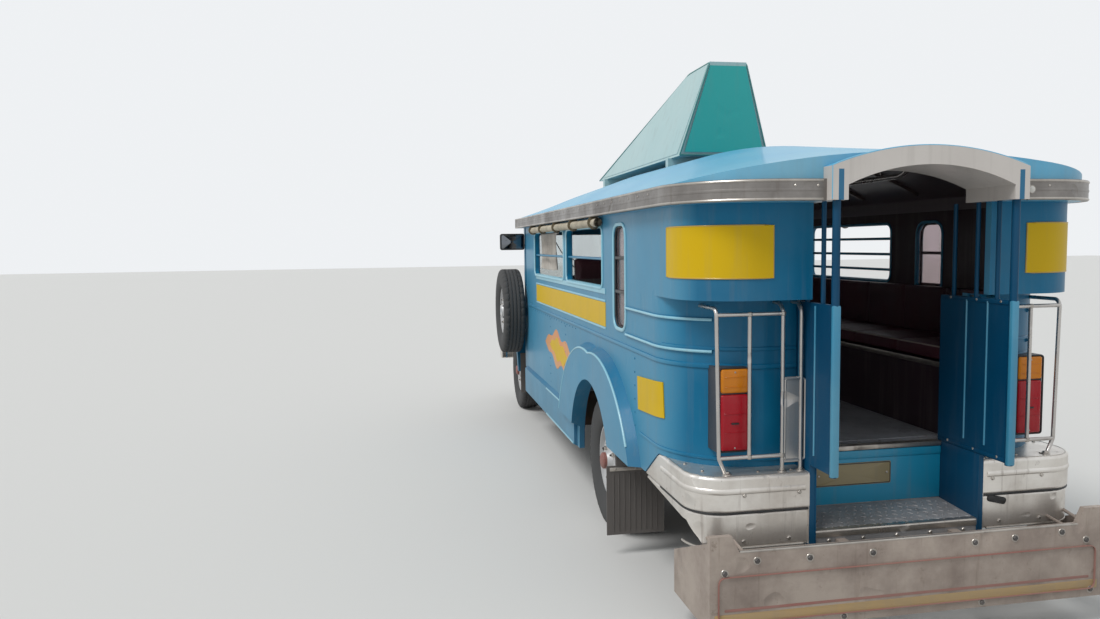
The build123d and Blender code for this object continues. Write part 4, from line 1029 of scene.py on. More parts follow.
@dataclass
class Form:
    """Points and four-cornered faces under one finish."""

    points: Array
    faces: Array
    finish: Finish

    def mirrored(self) -> "Form":
        """The same shape on the other side: Y changes sign, and the faces run the other way."""
        return Form(self.points * (1, -1, 1), self.faces[:, ::-1], self.finish)

    def moved(self, offset: tuple) -> "Form":
        """The same shape shifted."""
        return Form(self.points + np.asarray(offset), self.faces, self.finish)

    def turned(self, axis: tuple, degrees: float, centre: tuple) -> "Form":
        """The same shape turned about an axis through a centre."""
        turn = np.array(Matrix.Rotation(math.radians(degrees), 3, Vector(axis)))
        return Form((self.points - centre) @ turn.T + centre, self.faces, self.finish)

    def scattered(self, places: Array, frames: Array) -> "Form":
        """Copies of this shape: each point is turned by its copy's frame and moved to its place.

        Args:
            places: one row of X, Y, Z for each copy.
            frames: one 3 by 3 turn for each copy.

        Returns:
            All the copies as one shape.
        """
        places = np.asarray(places, float).reshape(-1, 3)
        count, size = len(places), len(self.points)
        turned = np.einsum("nij,kj->nki", frames, self.points)
        points = (turned + places[:, None]).reshape(-1, 3)
        faces = (self.faces[None] + (np.arange(count) * size)[:, None, None]).reshape(-1, 4)
        return Form(points, faces, self.finish)


def mirrored(forms: list[Form]) -> list[Form]:
    """Mirror images of left-hand shapes."""
    return [f.mirrored() for f in forms]


def pair(*forms: Form) -> list[Form]:
    """Left-hand shapes with their mirror images."""
    return [*forms, *mirrored(forms)]


def merged(forms: list[Form]) -> Form:
    """Several shapes as one, under the first one's finish."""
    starts = np.cumsum([0] + [len(f.points) for f in forms[:-1]])
    faces = np.concatenate([f.faces + s for f, s in zip(forms, starts)])
    return Form(np.concatenate([f.points for f in forms]), faces, forms[0].finish)


def unit(vectors: Array) -> Array:
    """Vectors of length one."""
    return vectors / np.maximum(np.linalg.norm(vectors, axis=-1, keepdims=True), 1e-12)


def lattice(points: Array, finish: Finish, wrap: bool = False, loop: bool = False) -> Form:
    """Faces between neighbours of a grid.

    Args:
        points: grid of X, Y, Z, rows by columns.
        finish: what covers it.
        wrap: the last column joins the first.
        loop: the last row joins the first.

    Returns:
        The shape.
    """
    rows, cols = points.shape[:2]
    i, j = np.meshgrid(
        np.arange(rows if loop else rows - 1), np.arange(cols if wrap else cols - 1), indexing="ij"
    )
    k, l = (i + 1) % rows, (j + 1) % cols
    faces = np.stack((i * cols + j, k * cols + j, k * cols + l, i * cols + l), -1).reshape(-1, 4)
    return Form(points.reshape(-1, 3).astype(float), faces, finish)


def capped(grid: Array) -> Array:
    """A grid with each end row drawn in to its middle, so that a tube is closed."""
    ends = [np.broadcast_to(row.mean(0), row.shape)[None] for row in (grid[0], grid[-1])]
    return np.concatenate((ends[0], grid, ends[1]))


def rounded(corners: Array, radius: float, steps: int = 5, loop: bool = False) -> Array:
    """Corners cut by curves: (1 - t)^2 start + 2 t (1 - t) corner + t^2 end, both ends a radius away.

    Args:
        corners: the straight line's points.
        radius: how far from a corner its curve starts, at most half a run.
        steps: points of each curve.
        loop: the line is closed.

    Returns:
        The points of the smooth line.
    """
    p = np.asarray(corners, float)
    before, after = np.roll(p, 1, 0) - p, np.roll(p, -1, 0) - p
    reach = [np.minimum(radius, 0.499 * np.linalg.norm(v, axis=1, keepdims=True)) for v in (before, after)]
    t = np.linspace(0, 1, steps)[None, :, None]
    start, end = p + unit(before) * reach[0], p + unit(after) * reach[1]
    curve = (1 - t) ** 2 * start[:, None] + 2 * t * (1 - t) * p[:, None] + t**2 * end[:, None]
    if loop:
        return curve.reshape(-1, p.shape[1])
    return np.concatenate((p[:1], curve[1:-1].reshape(-1, p.shape[1]), p[-1:]))


def carried(path: Array, section: Array, finish: Finish, lift: tuple = UP, loop: bool = False) -> Form:
    """Profile carried along a path: point = path + side times across + rise times up.

    Args:
        path: points of the line.
        section: across and up of the profile's points.
        finish: what covers it.
        lift: rough up direction that the profile keeps.
        loop: the path is closed.

    Returns:
        The shape, with its ends closed unless it is a loop.
    """
    path, section = np.asarray(path, float), np.asarray(section, float)
    along = np.roll(path, -1, 0) - np.roll(path, 1, 0) if loop else np.gradient(path, axis=0)
    across = unit(np.cross(unit(along), np.asarray(lift, float)))
    up = np.cross(across, unit(along))
    grid = path[:, None] + across[:, None] * section[None, :, :1] + up[:, None] * section[None, :, 1:]
    return lattice(grid if loop else capped(grid), finish, wrap=True, loop=loop)


def ring(radius: float, sides: int = 10, squash: float = 1.0) -> Array:
    """Round or flattened profile: radius times cosine and sine of equal turns."""
    turn = np.linspace(0, 2 * np.pi, sides, endpoint=False)
    return np.stack((np.cos(turn) * radius, -np.sin(turn) * radius * squash), -1)


def bar(width: float, height: float) -> Array:
    """Oblong profile with cut corners."""
    w, h = width / 2, height / 2
    c = 0.3 * min(w, h)
    half = np.array([(w, h - c), (w, -h + c), (w - c, -h), (-w + c, -h)])
    return np.concatenate((half, -half))


def tube(
    path: Array, radius: float, finish: Finish, bend: float = 0.0, sides: int = 10, lift: tuple = (
        0.12, 0.31, 0.94
    )
) -> Form:
    """Round bar along a line whose corners are rounded."""
    return carried(rounded(path, bend, 6) if bend else path, ring(radius, sides), finish, lift)


def upright(x: float, y: tuple[float, float], z: tuple[float, float]) -> list[tuple]:
    """Corners of an oblong square to X."""
    return [(x, y[0], z[0]), (x, y[1], z[0]), (x, y[1], z[1]), (x, y[0], z[1])]


def oblong_along(x: tuple[float, float], y: float, z: tuple[float, float]) -> list[tuple]:
    """Corners of an oblong square to Y."""
    return [(x[0], y, z[0]), (x[1], y, z[0]), (x[1], y, z[1]), (x[0], y, z[1])]


def bead(
    corners: list[tuple], bend: float, section: Array, finish: Finish, lift: tuple = FRONT, steps: int = 6
) -> Form:
    """Profile carried round a closed outline whose corners are rounded."""
    return carried(rounded(corners, bend, steps, loop=True), section, finish, lift, loop=True)


def revolved(profile: Array, centre: tuple, axis: tuple, finish: Finish, steps: int = 24) -> Form:
    """Profile turned about an axis: centre + axis times distance + radius times (u cosine + v sine).

    Args:
        profile: distance along the axis and radius of each point.
        centre: where distance is zero.
        axis: direction of the axis.
        finish: what covers it.
        steps: points round.

    Returns:
        The turned shape.
    """
    axis_v, profile = unit(np.asarray(axis, float)), np.asarray(profile, float)
    u = unit(np.cross(axis_v, (0.3, 0.2, 0.93) if abs(axis_v[2]) < 0.9 else (1, 0, 0)))
    v = np.cross(axis_v, u)
    turn = np.linspace(0, 2 * np.pi, steps, endpoint=False)[:, None, None]
    round_ = u * np.cos(turn) + v * np.sin(turn)
    grid = np.asarray(centre) + axis_v * profile[None, :, :1] + round_ * profile[None, :, 1:]
    return lattice(grid, finish, loop=True)


def block(low: tuple, high: tuple, radius: float, finish: Finish, steps: int = 3) -> Form:
    """Rounded block: a ball's points, each moved out to the corner it faces, with flat ends drawn in.

    Args:
        low, high: the two far corners.
        radius: of the edges.
        finish: what covers it.
        steps: points round each edge.

    Returns:
        The closed shape.
    """
    a, b = np.minimum(low, high), np.maximum(low, high)
    r = min(radius, float((b - a).min()) * 0.499)
    quarter = np.linspace(0, np.pi / 2, steps)
    turn = np.concatenate([quarter + i * np.pi / 2 for i in range(4)])
    rise = np.concatenate([quarter - np.pi / 2, quarter])
    sx, sy, sz = np.repeat([1, -1, -1, 1], steps), np.repeat([1, 1, -1, -1], steps), np.repeat([-1, 1], steps)
    middle, half = (a + b) / 2, (b - a) / 2 - r
    x = middle[0] + (sx * half[0])[None] + r * np.cos(rise)[:, None] * np.cos(turn)[None]
    y = middle[1] + (sy * half[1])[None] + r * np.cos(rise)[:, None] * np.sin(turn)[None]
    z = np.broadcast_to((middle[2] + sz * half[2] + r * np.sin(rise))[:, None], x.shape)
    return lattice(capped(np.stack((x, y, z), -1)), finish, wrap=True)


def bolt(radius: float, height: float, finish: Finish, sides: int = 6) -> Form:
    """Bolt or rivet head standing on the plane of Y and Z, with its crown towards +X."""
    profile = [(0, radius), (height * 0.62, radius), (height, radius * 0.72), (height * 1.02, 0)]
    return revolved(profile, (0, 0, 0), FRONT, finish, sides)


def aimed(directions: Array) -> Array:
    """Turns that take +X to each given direction."""
    x = unit(np.asarray(directions, float).reshape(-1, 3))
    side = np.where(np.abs(x[:, 2:]) > 0.9, (0.0, 1.0, 0.0), (0.0, 0.0, 1.0))
    y = unit(np.cross(side, x))
    return np.stack((x, y, np.cross(x, y)), -1)


def studs(
    places: Array, direction: tuple, radius: float, height: float, finish: Finish, sides: int = 6
) -> Form:
    """Bolt heads at many places, all facing one way."""
    places = np.asarray(places, float).reshape(-1, 3)
    return bolt(radius, height, finish, sides).scattered(places, aimed(np.tile(direction, (len(places), 1))))


def row(start: tuple, end: tuple, count: int) -> Array:
    """Equal places on a line."""
    return np.linspace(start, end, count)


def panel(corners: Array, thick: float, finish: Finish, inset: float = 0.0, cells: int = 6) -> Form:
    """Thin plate between four corners: their two-way mean, with a second skin raised by its normal.

    Args:
        corners: four points in order round the plate, seen from its face.
        thick: how far the face stands up.
        finish: what covers it.
        inset: share of the size that the edge keeps free.
        cells: faces along each side.

    Returns:
        The closed plate.
    """
    p = np.asarray(corners, float)
    normal = unit(np.cross(p[2] - p[0], p[3] - p[1]))
    s = np.linspace(inset, 1 - inset, cells)
    u, v = np.meshgrid(s, s, indexing="ij")
    u, v = u[..., None], v[..., None]
    flat = (1 - u) * (1 - v) * p[0] + u * (1 - v) * p[1] + u * v * p[2] + (1 - u) * v * p[3]
    top = flat + normal * thick
    edges = (flat[0], top[0]), (top[-1], flat[-1]), (top[:, 0], flat[:, 0]), (flat[:, -1], top[:, -1])
    return merged([lattice(top, finish), *(lattice(np.stack(edge), finish) for edge in edges)])


def disc_plate(
    outline: Array,
    centre: tuple,
    across: tuple,
    up: tuple,
    thick: float,
    finish: Finish,
    edge: float = 0.0015,
) -> Form:
    """Plate with a rounded outline: rings at the back, at the edge and drawn in a little at the face.

    Args:
        outline: across and up of the outline's points.
        centre, across, up: the plate's place and its two directions.
        thick: how far the face stands in front, along across x up.
        finish: what covers it.
        edge: how far the face's rim is drawn in.

    Returns:
        The closed plate.
    """
    o, a, b = np.asarray(outline, float), unit(np.asarray(across, float)), unit(np.asarray(up, float))
    n = np.cross(a, b)
    size = np.linalg.norm(o, axis=1, keepdims=True)
    inner = o * (1 - edge / np.maximum(size, edge))
    rings = [(o, 0.0), (o, thick - edge * 0.6), (inner, thick)]
    grid = np.stack([np.asarray(centre) + r[:, :1] * a + r[:, 1:] * b + n * h for r, h in rings])
    return lattice(capped(grid), finish, wrap=True)


def oblong(width: float, height: float, radius: float, steps: int = 4) -> Array:
    """Outline of an oblong with rounded corners."""
    w, h = width / 2, height / 2
    return rounded([(w, h), (-w, h), (-w, -h), (w, -h)], radius, steps, loop=True)


def make_piece(
    name: str,
    forms: list[Form],
    body: Body | str = Body.SHELL,
    replaces: tuple = (),
    crease: float = 38.0,
    closed: bool = True,
) -> bpy.types.Object:
    """One object out of several shapes, each with its own finish.

    Args:
        name: the piece's name.
        forms: its shapes.
        body: the body it rides on.
        replaces: CAD nodes that it stands for.
        crease: angle in degrees from which an edge stays sharp.
        closed: the faces are turned outwards after doubles are merged.

    Returns:
        The finished object.
    """
    finishes = list(dict.fromkeys(f.finish for f in forms))
    whole = merged(forms)
    points, faces = whole.points, whole.faces
    slots = np.concatenate([np.full(len(f.faces), finishes.index(f.finish)) for f in forms])
    mesh = bpy.data.meshes.new(name)
    mesh.vertices.add(len(points))
    mesh.vertices.foreach_set("co", points.astype(np.float32).ravel())
    mesh.loops.add(faces.size)
    mesh.loops.foreach_set("vertex_index", faces.astype(np.int32).ravel())
    mesh.polygons.add(len(faces))
    mesh.polygons.foreach_set("loop_start", np.arange(0, faces.size, 4, dtype=np.int32))
    mesh.polygons.foreach_set("material_index", slots.astype(np.int32))
    mesh.update(calc_edges=True)
    for finish in finishes:
        mesh.materials.append(finish.material())
    work = bmesh.new()
    work.from_mesh(mesh)
    bmesh.ops.remove_doubles(work, verts=work.verts, dist=2e-5)
    bmesh.ops.dissolve_degenerate(work, edges=work.edges, dist=1e-6)
    if closed:
        bmesh.ops.recalc_face_normals(work, faces=work.faces)
    work.to_mesh(mesh)
    work.free()
    mesh.validate()
    mesh.shade_smooth()
    mesh.set_sharp_from_angle(angle=math.radians(crease))
    made = bpy.data.objects.new(name, mesh)
    bpy.context.scene.collection.objects.link(made)
    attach(made, body.value if isinstance(body, Body) else body)
    if replaces:
        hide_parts(*replaces)
    log.info("piece %s: %d faces", name, len(mesh.polygons))
    return made


# Sub-assemblies


def body_line(side_x: float, end_y: float, proud: float, lower: bool, steps: int = 16) -> Array:
    """Plan of the body's skin from the side round the rear corner: a run, a quarter circle, a run.

    Args:
        side_x: where it starts on the left side, as X.
        end_y: where it ends on the rear face.
        proud: how far it stands off the skin.
        lower: the stepped-in lower body, or the upper one.
        steps: points of the quarter circle.

    Returns:
        Rows of X and Y.
    """
    rear, radius = (at(0.13), 0.35) if lower else (at(0.0), 0.25)
    cx, cy, r = rear + radius, BODY_HALF - radius, radius + proud
    turn = np.linspace(0, np.pi / 2, steps)
    arc = np.stack((cx - r * np.sin(turn), cy + r * np.cos(turn)), -1)
    start = np.linspace((max(side_x, cx + 1e-3), cy + r), arc[0], 3)[:-1]
    end = np.linspace(arc[-1], (rear - proud, min(end_y, cy - 1e-3)), 3)[1:]
    return np.concatenate((start, arc, end))


def at_height(plan: Array, z: float | Array) -> Array:
    """Plan points lifted to a height."""
    return np.column_stack((plan, np.broadcast_to(z, len(plan))))


def circle_top(half: float, side: float, top: float, y: Array | float) -> Array:
    """Height over Y of the circle through both sides and the crown: radius = (half^2 + rise^2) / (2 rise)."""
    rise = top - side
    radius = (half**2 + rise**2) / (2 * rise)
    return top - radius + np.sqrt(radius**2 - np.asarray(y) ** 2)


@dataclass
class BodyTrim:
    """Creases, strips, blank plates and sills of the body's skin, the same on both sides up to the door."""

    crease_z: float = 1.1
    seam_z: float = 1.075
    strip_x: tuple[float, float] = (1.33, 3.56)
    strip_z: tuple[float, float] = (1.157, 1.288)
    door_x: tuple[float, float] = (3.095, 3.955)
    sign_z: tuple[float, float] = (1.462, 1.664)
    sign_end_y: float = 0.55
    plate_z: tuple[float, float] = (0.835, 0.99)
    ledge_z: tuple[float, float] = (0.345, 0.535)
    rear_end_y: float = 0.388

    def build(self) -> None:
        """Make the strips of the skin, then those of the door leaf, the signs and the plates."""
        make_piece("belt_creases_and_highlights", self.both(self.creases, 3.95))
        make_piece("side_strips", self.both(self.strips, self.strip_x[1]))
        make_piece("door_strips", mirrored(self.door()), Body.DOOR)
        make_piece("corner_signs", pair(*self.signs()))
        make_piece("side_plates", [self.side_plate(), *self.side_marks()])
        make_piece("rocker_edge_highlights", pair(*self.rockers()))
        make_piece("panel_rivets", self.both(self.rivets, 3.9))

    def both(self, maker: Callable[[float], list[Form]], front: float) -> list[Form]:
        """Left-hand shapes up to a front end, and mirror images that stop short of the door."""
        return maker(front) + mirrored(maker(self.door_x[0] - 0.035))

    def line(self, rear: float, front: float, z: float, count: int) -> Array:
        """Equal places along the left side at a height."""
        return row((at(rear), BODY_HALF, z), (at(front), BODY_HALF, z), count)

    def yellow(self, rear: float, front: float, count: int) -> list[Form]:
        """Yellow strip with a pale line above and below it."""
        low, high = self.strip_z
        strip = carried(self.line(rear, front, (low + high) / 2, count), bar(0.004, high - low), YELLOW)
        lines = [
            carried(self.line(rear, front, z, count), ring(0.004, 8, 1.6), PALE_TRIM_AND_HIGHLIGHT)
            for z in (high + 0.008, low - 0.008)
        ]
        return [strip, *lines]

    def door(self) -> list[Form]:
        """Strip, lines, crease and rivets of the door leaf, in line with the side's."""
        rear, front = self.door_x[0] + 0.02, self.door_x[1] - 0.02
        crease = carried(self.line(rear, front, self.crease_z, 6), ring(0.0075, 8, 1.5), SKIN)
        places = self.line(rear + 0.01, front - 0.01, self.seam_z, 10)
        return [*self.yellow(rear, self.strip_x[1], 6), crease, studs(places, LEFT, 0.0045, 0.003, SKIN)]

    def creases(self, front: float) -> list[Form]:
        """Half-round creases on the side and the rear, and pale lines as painted highlights on the beads
        round the corner and along the fender's crest.
        """
        end = self.rear_end_y
        long_ = at_height(body_line(at(front), end, 0.0, True, 20), self.crease_z)
        thin = at_height(body_line(at(0.4), end, 0.0, True, 14)[4:], 1.172)
        low = at_height(body_line(at(0.9), end, 0.0, True, 14)[1:], 0.722)
        half = ring(0.006, 8, 1.4)
        round_ = body_line(at(0.92), end, 0.0045, True, 30)[:21]
        return [
            carried(long_, ring(0.0075, 8, 1.5), SKIN),
            carried(thin, half, SKIN),
            carried(low, half, SKIN),
            # pale lines on the corner beads: painted highlights
            *(carried(at_height(round_, z), ring(0.0068, 8), PALE_TRIM_AND_HIGHLIGHT) for z in (1.16, 1.29)),
            # pale line along the fender's edge: painted highlight
            carried(self.fender_highlight_path(), ring(0.006, 8), PALE_TRIM_AND_HIGHLIGHT, LEFT),
        ]

    def fender_highlight_path(self) -> Array:
        """Edge of the rear fender's outer face, along which a pale line paints its highlight.

        It is a circle through three points of the fender's outline, less the
        bevel's run, and its mirror image ahead of the axle.
        """
        half, low, top, run, face_y = 0.9, 0.47, 1.02, 0.0292, 0.9275
        a, b, c = np.array([(-half, low), (-0.72 * half, low + 0.68 * (top - low)), (0.0, top)])
        centre = np.linalg.solve(2 * np.array([b - a, c - a]), [b @ b - a @ a, c @ c - a @ a])
        radius = np.linalg.norm(c - centre) - run
        ends = [math.atan2(p[1] - centre[1], p[0] - centre[0]) for p in (a, c)]
        turn = np.linspace(ends[0] % (2 * np.pi), ends[1], 40)
        arc = centre + radius * np.stack((np.cos(turn), np.sin(turn)), -1)
        arc = arc[arc[:, 0] <= 0]
        path = np.concatenate((arc[arc[:, 1] > 0.64], (arc[arc[:, 1] > 0.5] * (-1, 1))[::-1]))
        return np.column_stack((at(1.55) + path[:, 0], np.full(len(path), face_y), path[:, 1]))

    def strips(self, front: float) -> list[Form]:
        """Yellow panel under the windows with its lines, and a pale sill above."""
        rear, sill_z = self.strip_x[0], 1.348
        sill = carried(self.line(rear, front, sill_z, 8), bar(0.006, 0.03), PALE_TRIM_AND_HIGHLIGHT)
        return [*self.yellow(rear, front, 12), sill]

    def signs(self) -> list[Form]:
        """Blank yellow sheet wrapped round the upper corner, with a rolled edge."""
        low, high = self.sign_z
        plan = body_line(at(0.3), self.sign_end_y, 0.0015, False, 18)
        edge = np.concatenate((at_height(plan, low), at_height(plan, high)[::-1]))
        return [
            carried(at_height(plan, (low + high) / 2), bar(0.004, high - low), YELLOW),
            carried(edge, ring(0.0035, 6), YELLOW_EDGE, (0.2, 0.3, 0.9), loop=True),
        ]

    def side_plate(self) -> Form:
        """Small blank yellow plate on the left, tilted a little, bent with the corner."""
        (low, high), front = self.plate_z, at(0.72)
        plan = body_line(front, 0.5, 0.003, True, 40)
        plan = plan[plan[:, 0] > at(0.375)]
        rise = (front - plan[:, 0]) / 0.42
        return carried(
            at_height(plan, (low + high) / 2 - 0.005 + 0.03 * rise), bar(0.005, high - low), YELLOW
        )

    def side_marks(self) -> list[Form]:
        """Plain painted patch on each side, pointed at both ends: half height times (1 - u squared)."""
        u = np.linspace(-1, 1, 41)
        half = 0.004 + 0.111 * (1 - u**2) * (1 + 0.25 * np.sin(3 * np.pi * u))
        middle_z = 0.86 + 0.02 * np.sin(2.2 * u)
        forms = []
        for side, middle, reach in ((1, 2.66, 0.52), (-1, 2.6, 0.44)):
            for grow, stand, finish in ((1.0, 0.002, ORANGE), (0.62, 0.0032, YELLOW)):
                x = at(middle) + reach * u * grow
                low, high = middle_z - half * grow, middle_z + half * grow
                edges = ((-0.001, low), (stand, low + 0.002), (stand, high - 0.002), (-0.001, high))
                grid = np.stack([np.stack((x, np.full_like(x, BODY_HALF + out), z), -1) for out, z in edges])
                made = lattice(grid, finish)
                forms.append(made if side == 1 else made.mirrored())
        return forms

    def rockers(self) -> list[Form]:
        """Pale lines along the ledge's lower and upper edges: painted highlights on its bevelled edges."""
        y = BODY_HALF + 0.022
        # pale lines on the ledge's edges: painted highlights
        return [
            carried(
                row((at(2.1), y, z), (at(3.06), y, z), 6), ring(0.0055, 8), PALE_TRIM_AND_HIGHLIGHT
            ) for z in self.ledge_z
        ]

    def rivets(self, front: float) -> list[Form]:
        """Rivets along the panel seams."""
        seams = [
            row((at(x), BODY_HALF, low), (at(x), BODY_HALF, 1.06), count)
            for x, low, count in ((2.42, 0.6, 9), (2.98, 0.6, 9), (0.78, 0.74, 6))
        ]
        under = self.line(2.1, front, self.seam_z, int((front - 2.1) / 0.082))
        return [studs(np.concatenate([*seams, under]), LEFT, 0.0045, 0.003, SKIN)]


@dataclass
class WindowFrames:
    """Pressed frames round the openings, sills, bars of the narrow panes and a drawn curtain."""

    behind: tuple = ((0.94, 1.15, 1.18, 1.69, 0.07), (1.4, 2.36, 1.367, 1.69, 0.05))
    left_front: tuple = (2.46, 3.62, 1.367, 1.69, 0.05)
    right_front: tuple = (2.46, 2.98, 1.367, 1.69, 0.05)

    def build(self) -> None:
        """Frames of each side, bars and sill strips, then the curtain."""
        make_piece("window_frames_left", self.frames((*self.behind, self.left_front), 1))
        make_piece("window_frames_right", self.frames((*self.behind, self.right_front), -1))
        make_piece("pane_bars", pair(*self.bars()))
        self.curtain()

    def frames(self, table: tuple, side: int) -> list[Form]:
        """A rounded profile carried round each opening, outside and inside the wall, and sill strips."""
        forms = []
        for start, end, low, high, radius in table:
            for y, wide, finish in ((BODY_HALF + 0.001, 0.02, PALE_TRIM_AND_HIGHLIGHT), (BODY_HALF - 0.036, 0.016, SKIN)):
                g = wide / 2 - 0.002
                corners = oblong_along((at(start) - g, at(end) + g), side * y, (low - g, high + g))
                forms.append(bead(corners, radius + g, ring(wide / 2, 10, 0.6), finish, (0, side, 0), 8))
        for start, end, low, *_ in table[1:]:
            corners = (at(start), side * 0.842, low - 0.004), (at(end), side * 0.872, low + 0.006)
            forms.append(block(*corners, 0.003, PALE_TRIM_AND_HIGHLIGHT))
        return forms

    def bars(self) -> list[Form]:
        """Slim bars across the narrow panes, with a rubber bead round the glass."""
        rear, front = at(0.945), at(1.145)
        bars = [
            block((rear, 0.862, z - 0.008), (front, 0.874, z + 0.008), 0.004, SLATE) for z in (1.36, 1.53)
        ]
        corners = oblong_along((rear, front), 0.868, (1.185, 1.685))
        return [*bars, bead(corners, 0.065, ring(0.005, 8), BLACK_TRIM_AND_SHADE, LEFT)]

    def curtain(self) -> None:
        """Pale cloth gathered on a rod: depth = fold size times sine of the fold count, deeper at the hem."""
        width, tall, folds = 0.62, 0.27, 11
        y, top, rod_ends = 0.822, 1.684, (2.9, 3.64)
        u, v = np.meshgrid(np.linspace(0, 1, 221), np.linspace(0, 1, 25), indexing="ij")
        wave = np.sin(2 * np.pi * folds * u + 0.7 * np.sin(5 * u)) * (0.008 + 0.005 * v)
        wave = wave + 0.004 * np.sin(9 * u + 4 * v)
        x = at(2.98) + u * width + 0.006 * v * np.sin(14 * u)
        z = top - tall * v + 0.004 * np.sin(23 * u) * v
        points = np.stack((x, y + wave, z), -1)
        made = make_piece("window_curtain", [lattice(points, CLOTH)], closed=False, crease=180)
        rod = tube([(at(d), y, top) for d in rod_ends], 0.0045, TUBE)
        ends = [
            block((at(d) - 0.008, y, 1.676), (at(d) + 0.008, 0.841, 1.692), 0.003, TUBE) for d in rod_ends
        ]
        make_piece("curtain_rod", [rod, *ends])


@dataclass
class RearEntry:
    """Trim of the step, the riser and the two upright screens."""

    riser_x: float = 0.25
    riser_half: float = 0.36
    screen_y: tuple[float, float] = (0.362, 0.386)
    creases_x: tuple[float, float] = (0.1, -0.025)

    def build(self) -> None:
        """Riser plate, floor edge, tread ribs, screen creases and bolts."""
        make_piece("riser_panel", self.riser())
        make_piece("step_ribs", self.tread())
        make_piece("screen_creases", pair(*self.creases()))
        make_piece("entry_bolts", self.bolts())

    def riser(self) -> list[Form]:
        """Blue sheet over the riser and its folded lip, both lightened as painted light, bright floor nosing
        and the blank plate.
        """
        x, half, plate_y, plate_z = at(self.riser_x), self.riser_half, 0.06, 0.598
        sheets = (
            (-0.004, 0.001, 0.47, 0.664, 0.002, RISER_BLUE_LIGHTENED),
            (-0.008, 0.001, 0.664, 0.7, 0.006, RISER_BLUE_LIGHTENED),
            (-0.012, 0.03, 0.702, 0.7225, 0.004, STAINLESS),
        )
        plate_at = (x - 0.004, plate_y, plate_z)
        edge = upright(x - 0.0075, (plate_y - 0.176, plate_y + 0.176), (plate_z - 0.045, plate_z + 0.045))
        screws = [(x - 0.007, plate_y + y, plate_z) for y in (-0.16, 0.16)]
        return [
            *(block((x + a, -half, low), (x + b, half, high), *look) for a, b, low, high, *look in sheets),
            disc_plate(oblong(0.36, 0.098, 0.008), plate_at, RIGHT, UP, 0.003, FADED_PLATE),
            bead(edge, 0.008, ring(0.002, 6), SLATE, steps=4),
            studs(screws, REAR, 0.006, 0.004, STAINLESS),
        ]

    def tread(self) -> list[Form]:
        """Raised bars of the chequer plate in two crossing directions, and a folded bright nosing."""
        i, j = np.meshgrid(np.arange(6), np.arange(20), indexing="ij")
        x = at(0.035) + i * 0.036
        y = np.clip(-0.34 + j * 0.0358 + 0.018 * (i % 2), -0.35, 0.35)
        z = 0.4505 + (x - at(0.015)) * 0.0706
        lug = block((-0.0105, -0.0028, -0.003), (0.0105, 0.0028, 0.0018), 0.0012, TREAD, 2)
        turns = [np.array(Matrix.Rotation(math.radians(a), 3, "Z")) for a in (45, -45)]
        frames = np.where(((i + j) % 2).reshape(-1, 1, 1) == 0, turns[0], turns[1])
        nose = rounded([(at(0.03), 0, 0.4525), (at(0.004), 0, 0.4505), (at(0.004), 0, 0.424)], 0.008)
        sheet = np.stack([nose + (0, y_end, 0) for y_end in (-self.riser_half, self.riser_half)])
        under = sheet + (0.0025, 0, -0.0025)
        nosing = lattice(np.concatenate((sheet, under[::-1])), STAINLESS, loop=True)
        return [lug.scattered(np.stack((x, y, z), -1), frames), nosing]

    def creases(self) -> list[Form]:
        """Ribs on a screen's faces, foot and head strips, a rolled rear edge, and the side of the step."""
        ribs = [
            tube([(at(x), y, 0.765), (at(x), y, 1.352)], 0.0045, PALE_EDGE, sides=8)
            for y in (self.screen_y[0] - 0.0005, self.screen_y[1] + 0.0005)
            for x in self.creases_x
        ]
        # foot and head strips and the step's side in the darker screen blue: painted shade
        strips = [
            block((at(-0.14), 0.359, z - 0.012), (at(0.265), 0.3625, z + 0.004), 0.001, SCREEN_BLUE_SHADED)
            for z in (0.735, 1.357)
        ]
        edge = block((at(-0.166), 0.358, 0.712), (at(-0.146), 0.39, 1.362), 0.006, PALE_EDGE)
        step_side = block((at(0.0), 0.360, 0.397), (at(0.25), 0.3625, 0.72), 0.0008, SCREEN_BLUE_SHADED)
        return [*ribs, *strips, edge, step_side]

    def bolts(self) -> list[Form]:
        """Bolts of the apron, the floor's edge and the screens."""
        apron = [(at(0.008), y, 0.408) for y in np.linspace(-0.3, 0.3, 5)]
        floor = [(at(0.3), y, 0.7205) for y in np.linspace(-0.3, 0.3, 7)]
        screen = np.array([(at(x), 0.361, z) for x in (-0.1, 0.04, 0.2) for z in (0.735, 1.355)])
        return [
            studs(apron, REAR, 0.0085, 0.006, STAINLESS),
            studs(floor, UP, 0.006, 0.003, STAINLESS),
            *(studs(screen * (1, s, 1), (0, -s, 0), 0.006, 0.004, STAINLESS) for s in (1, -1)),
        ]


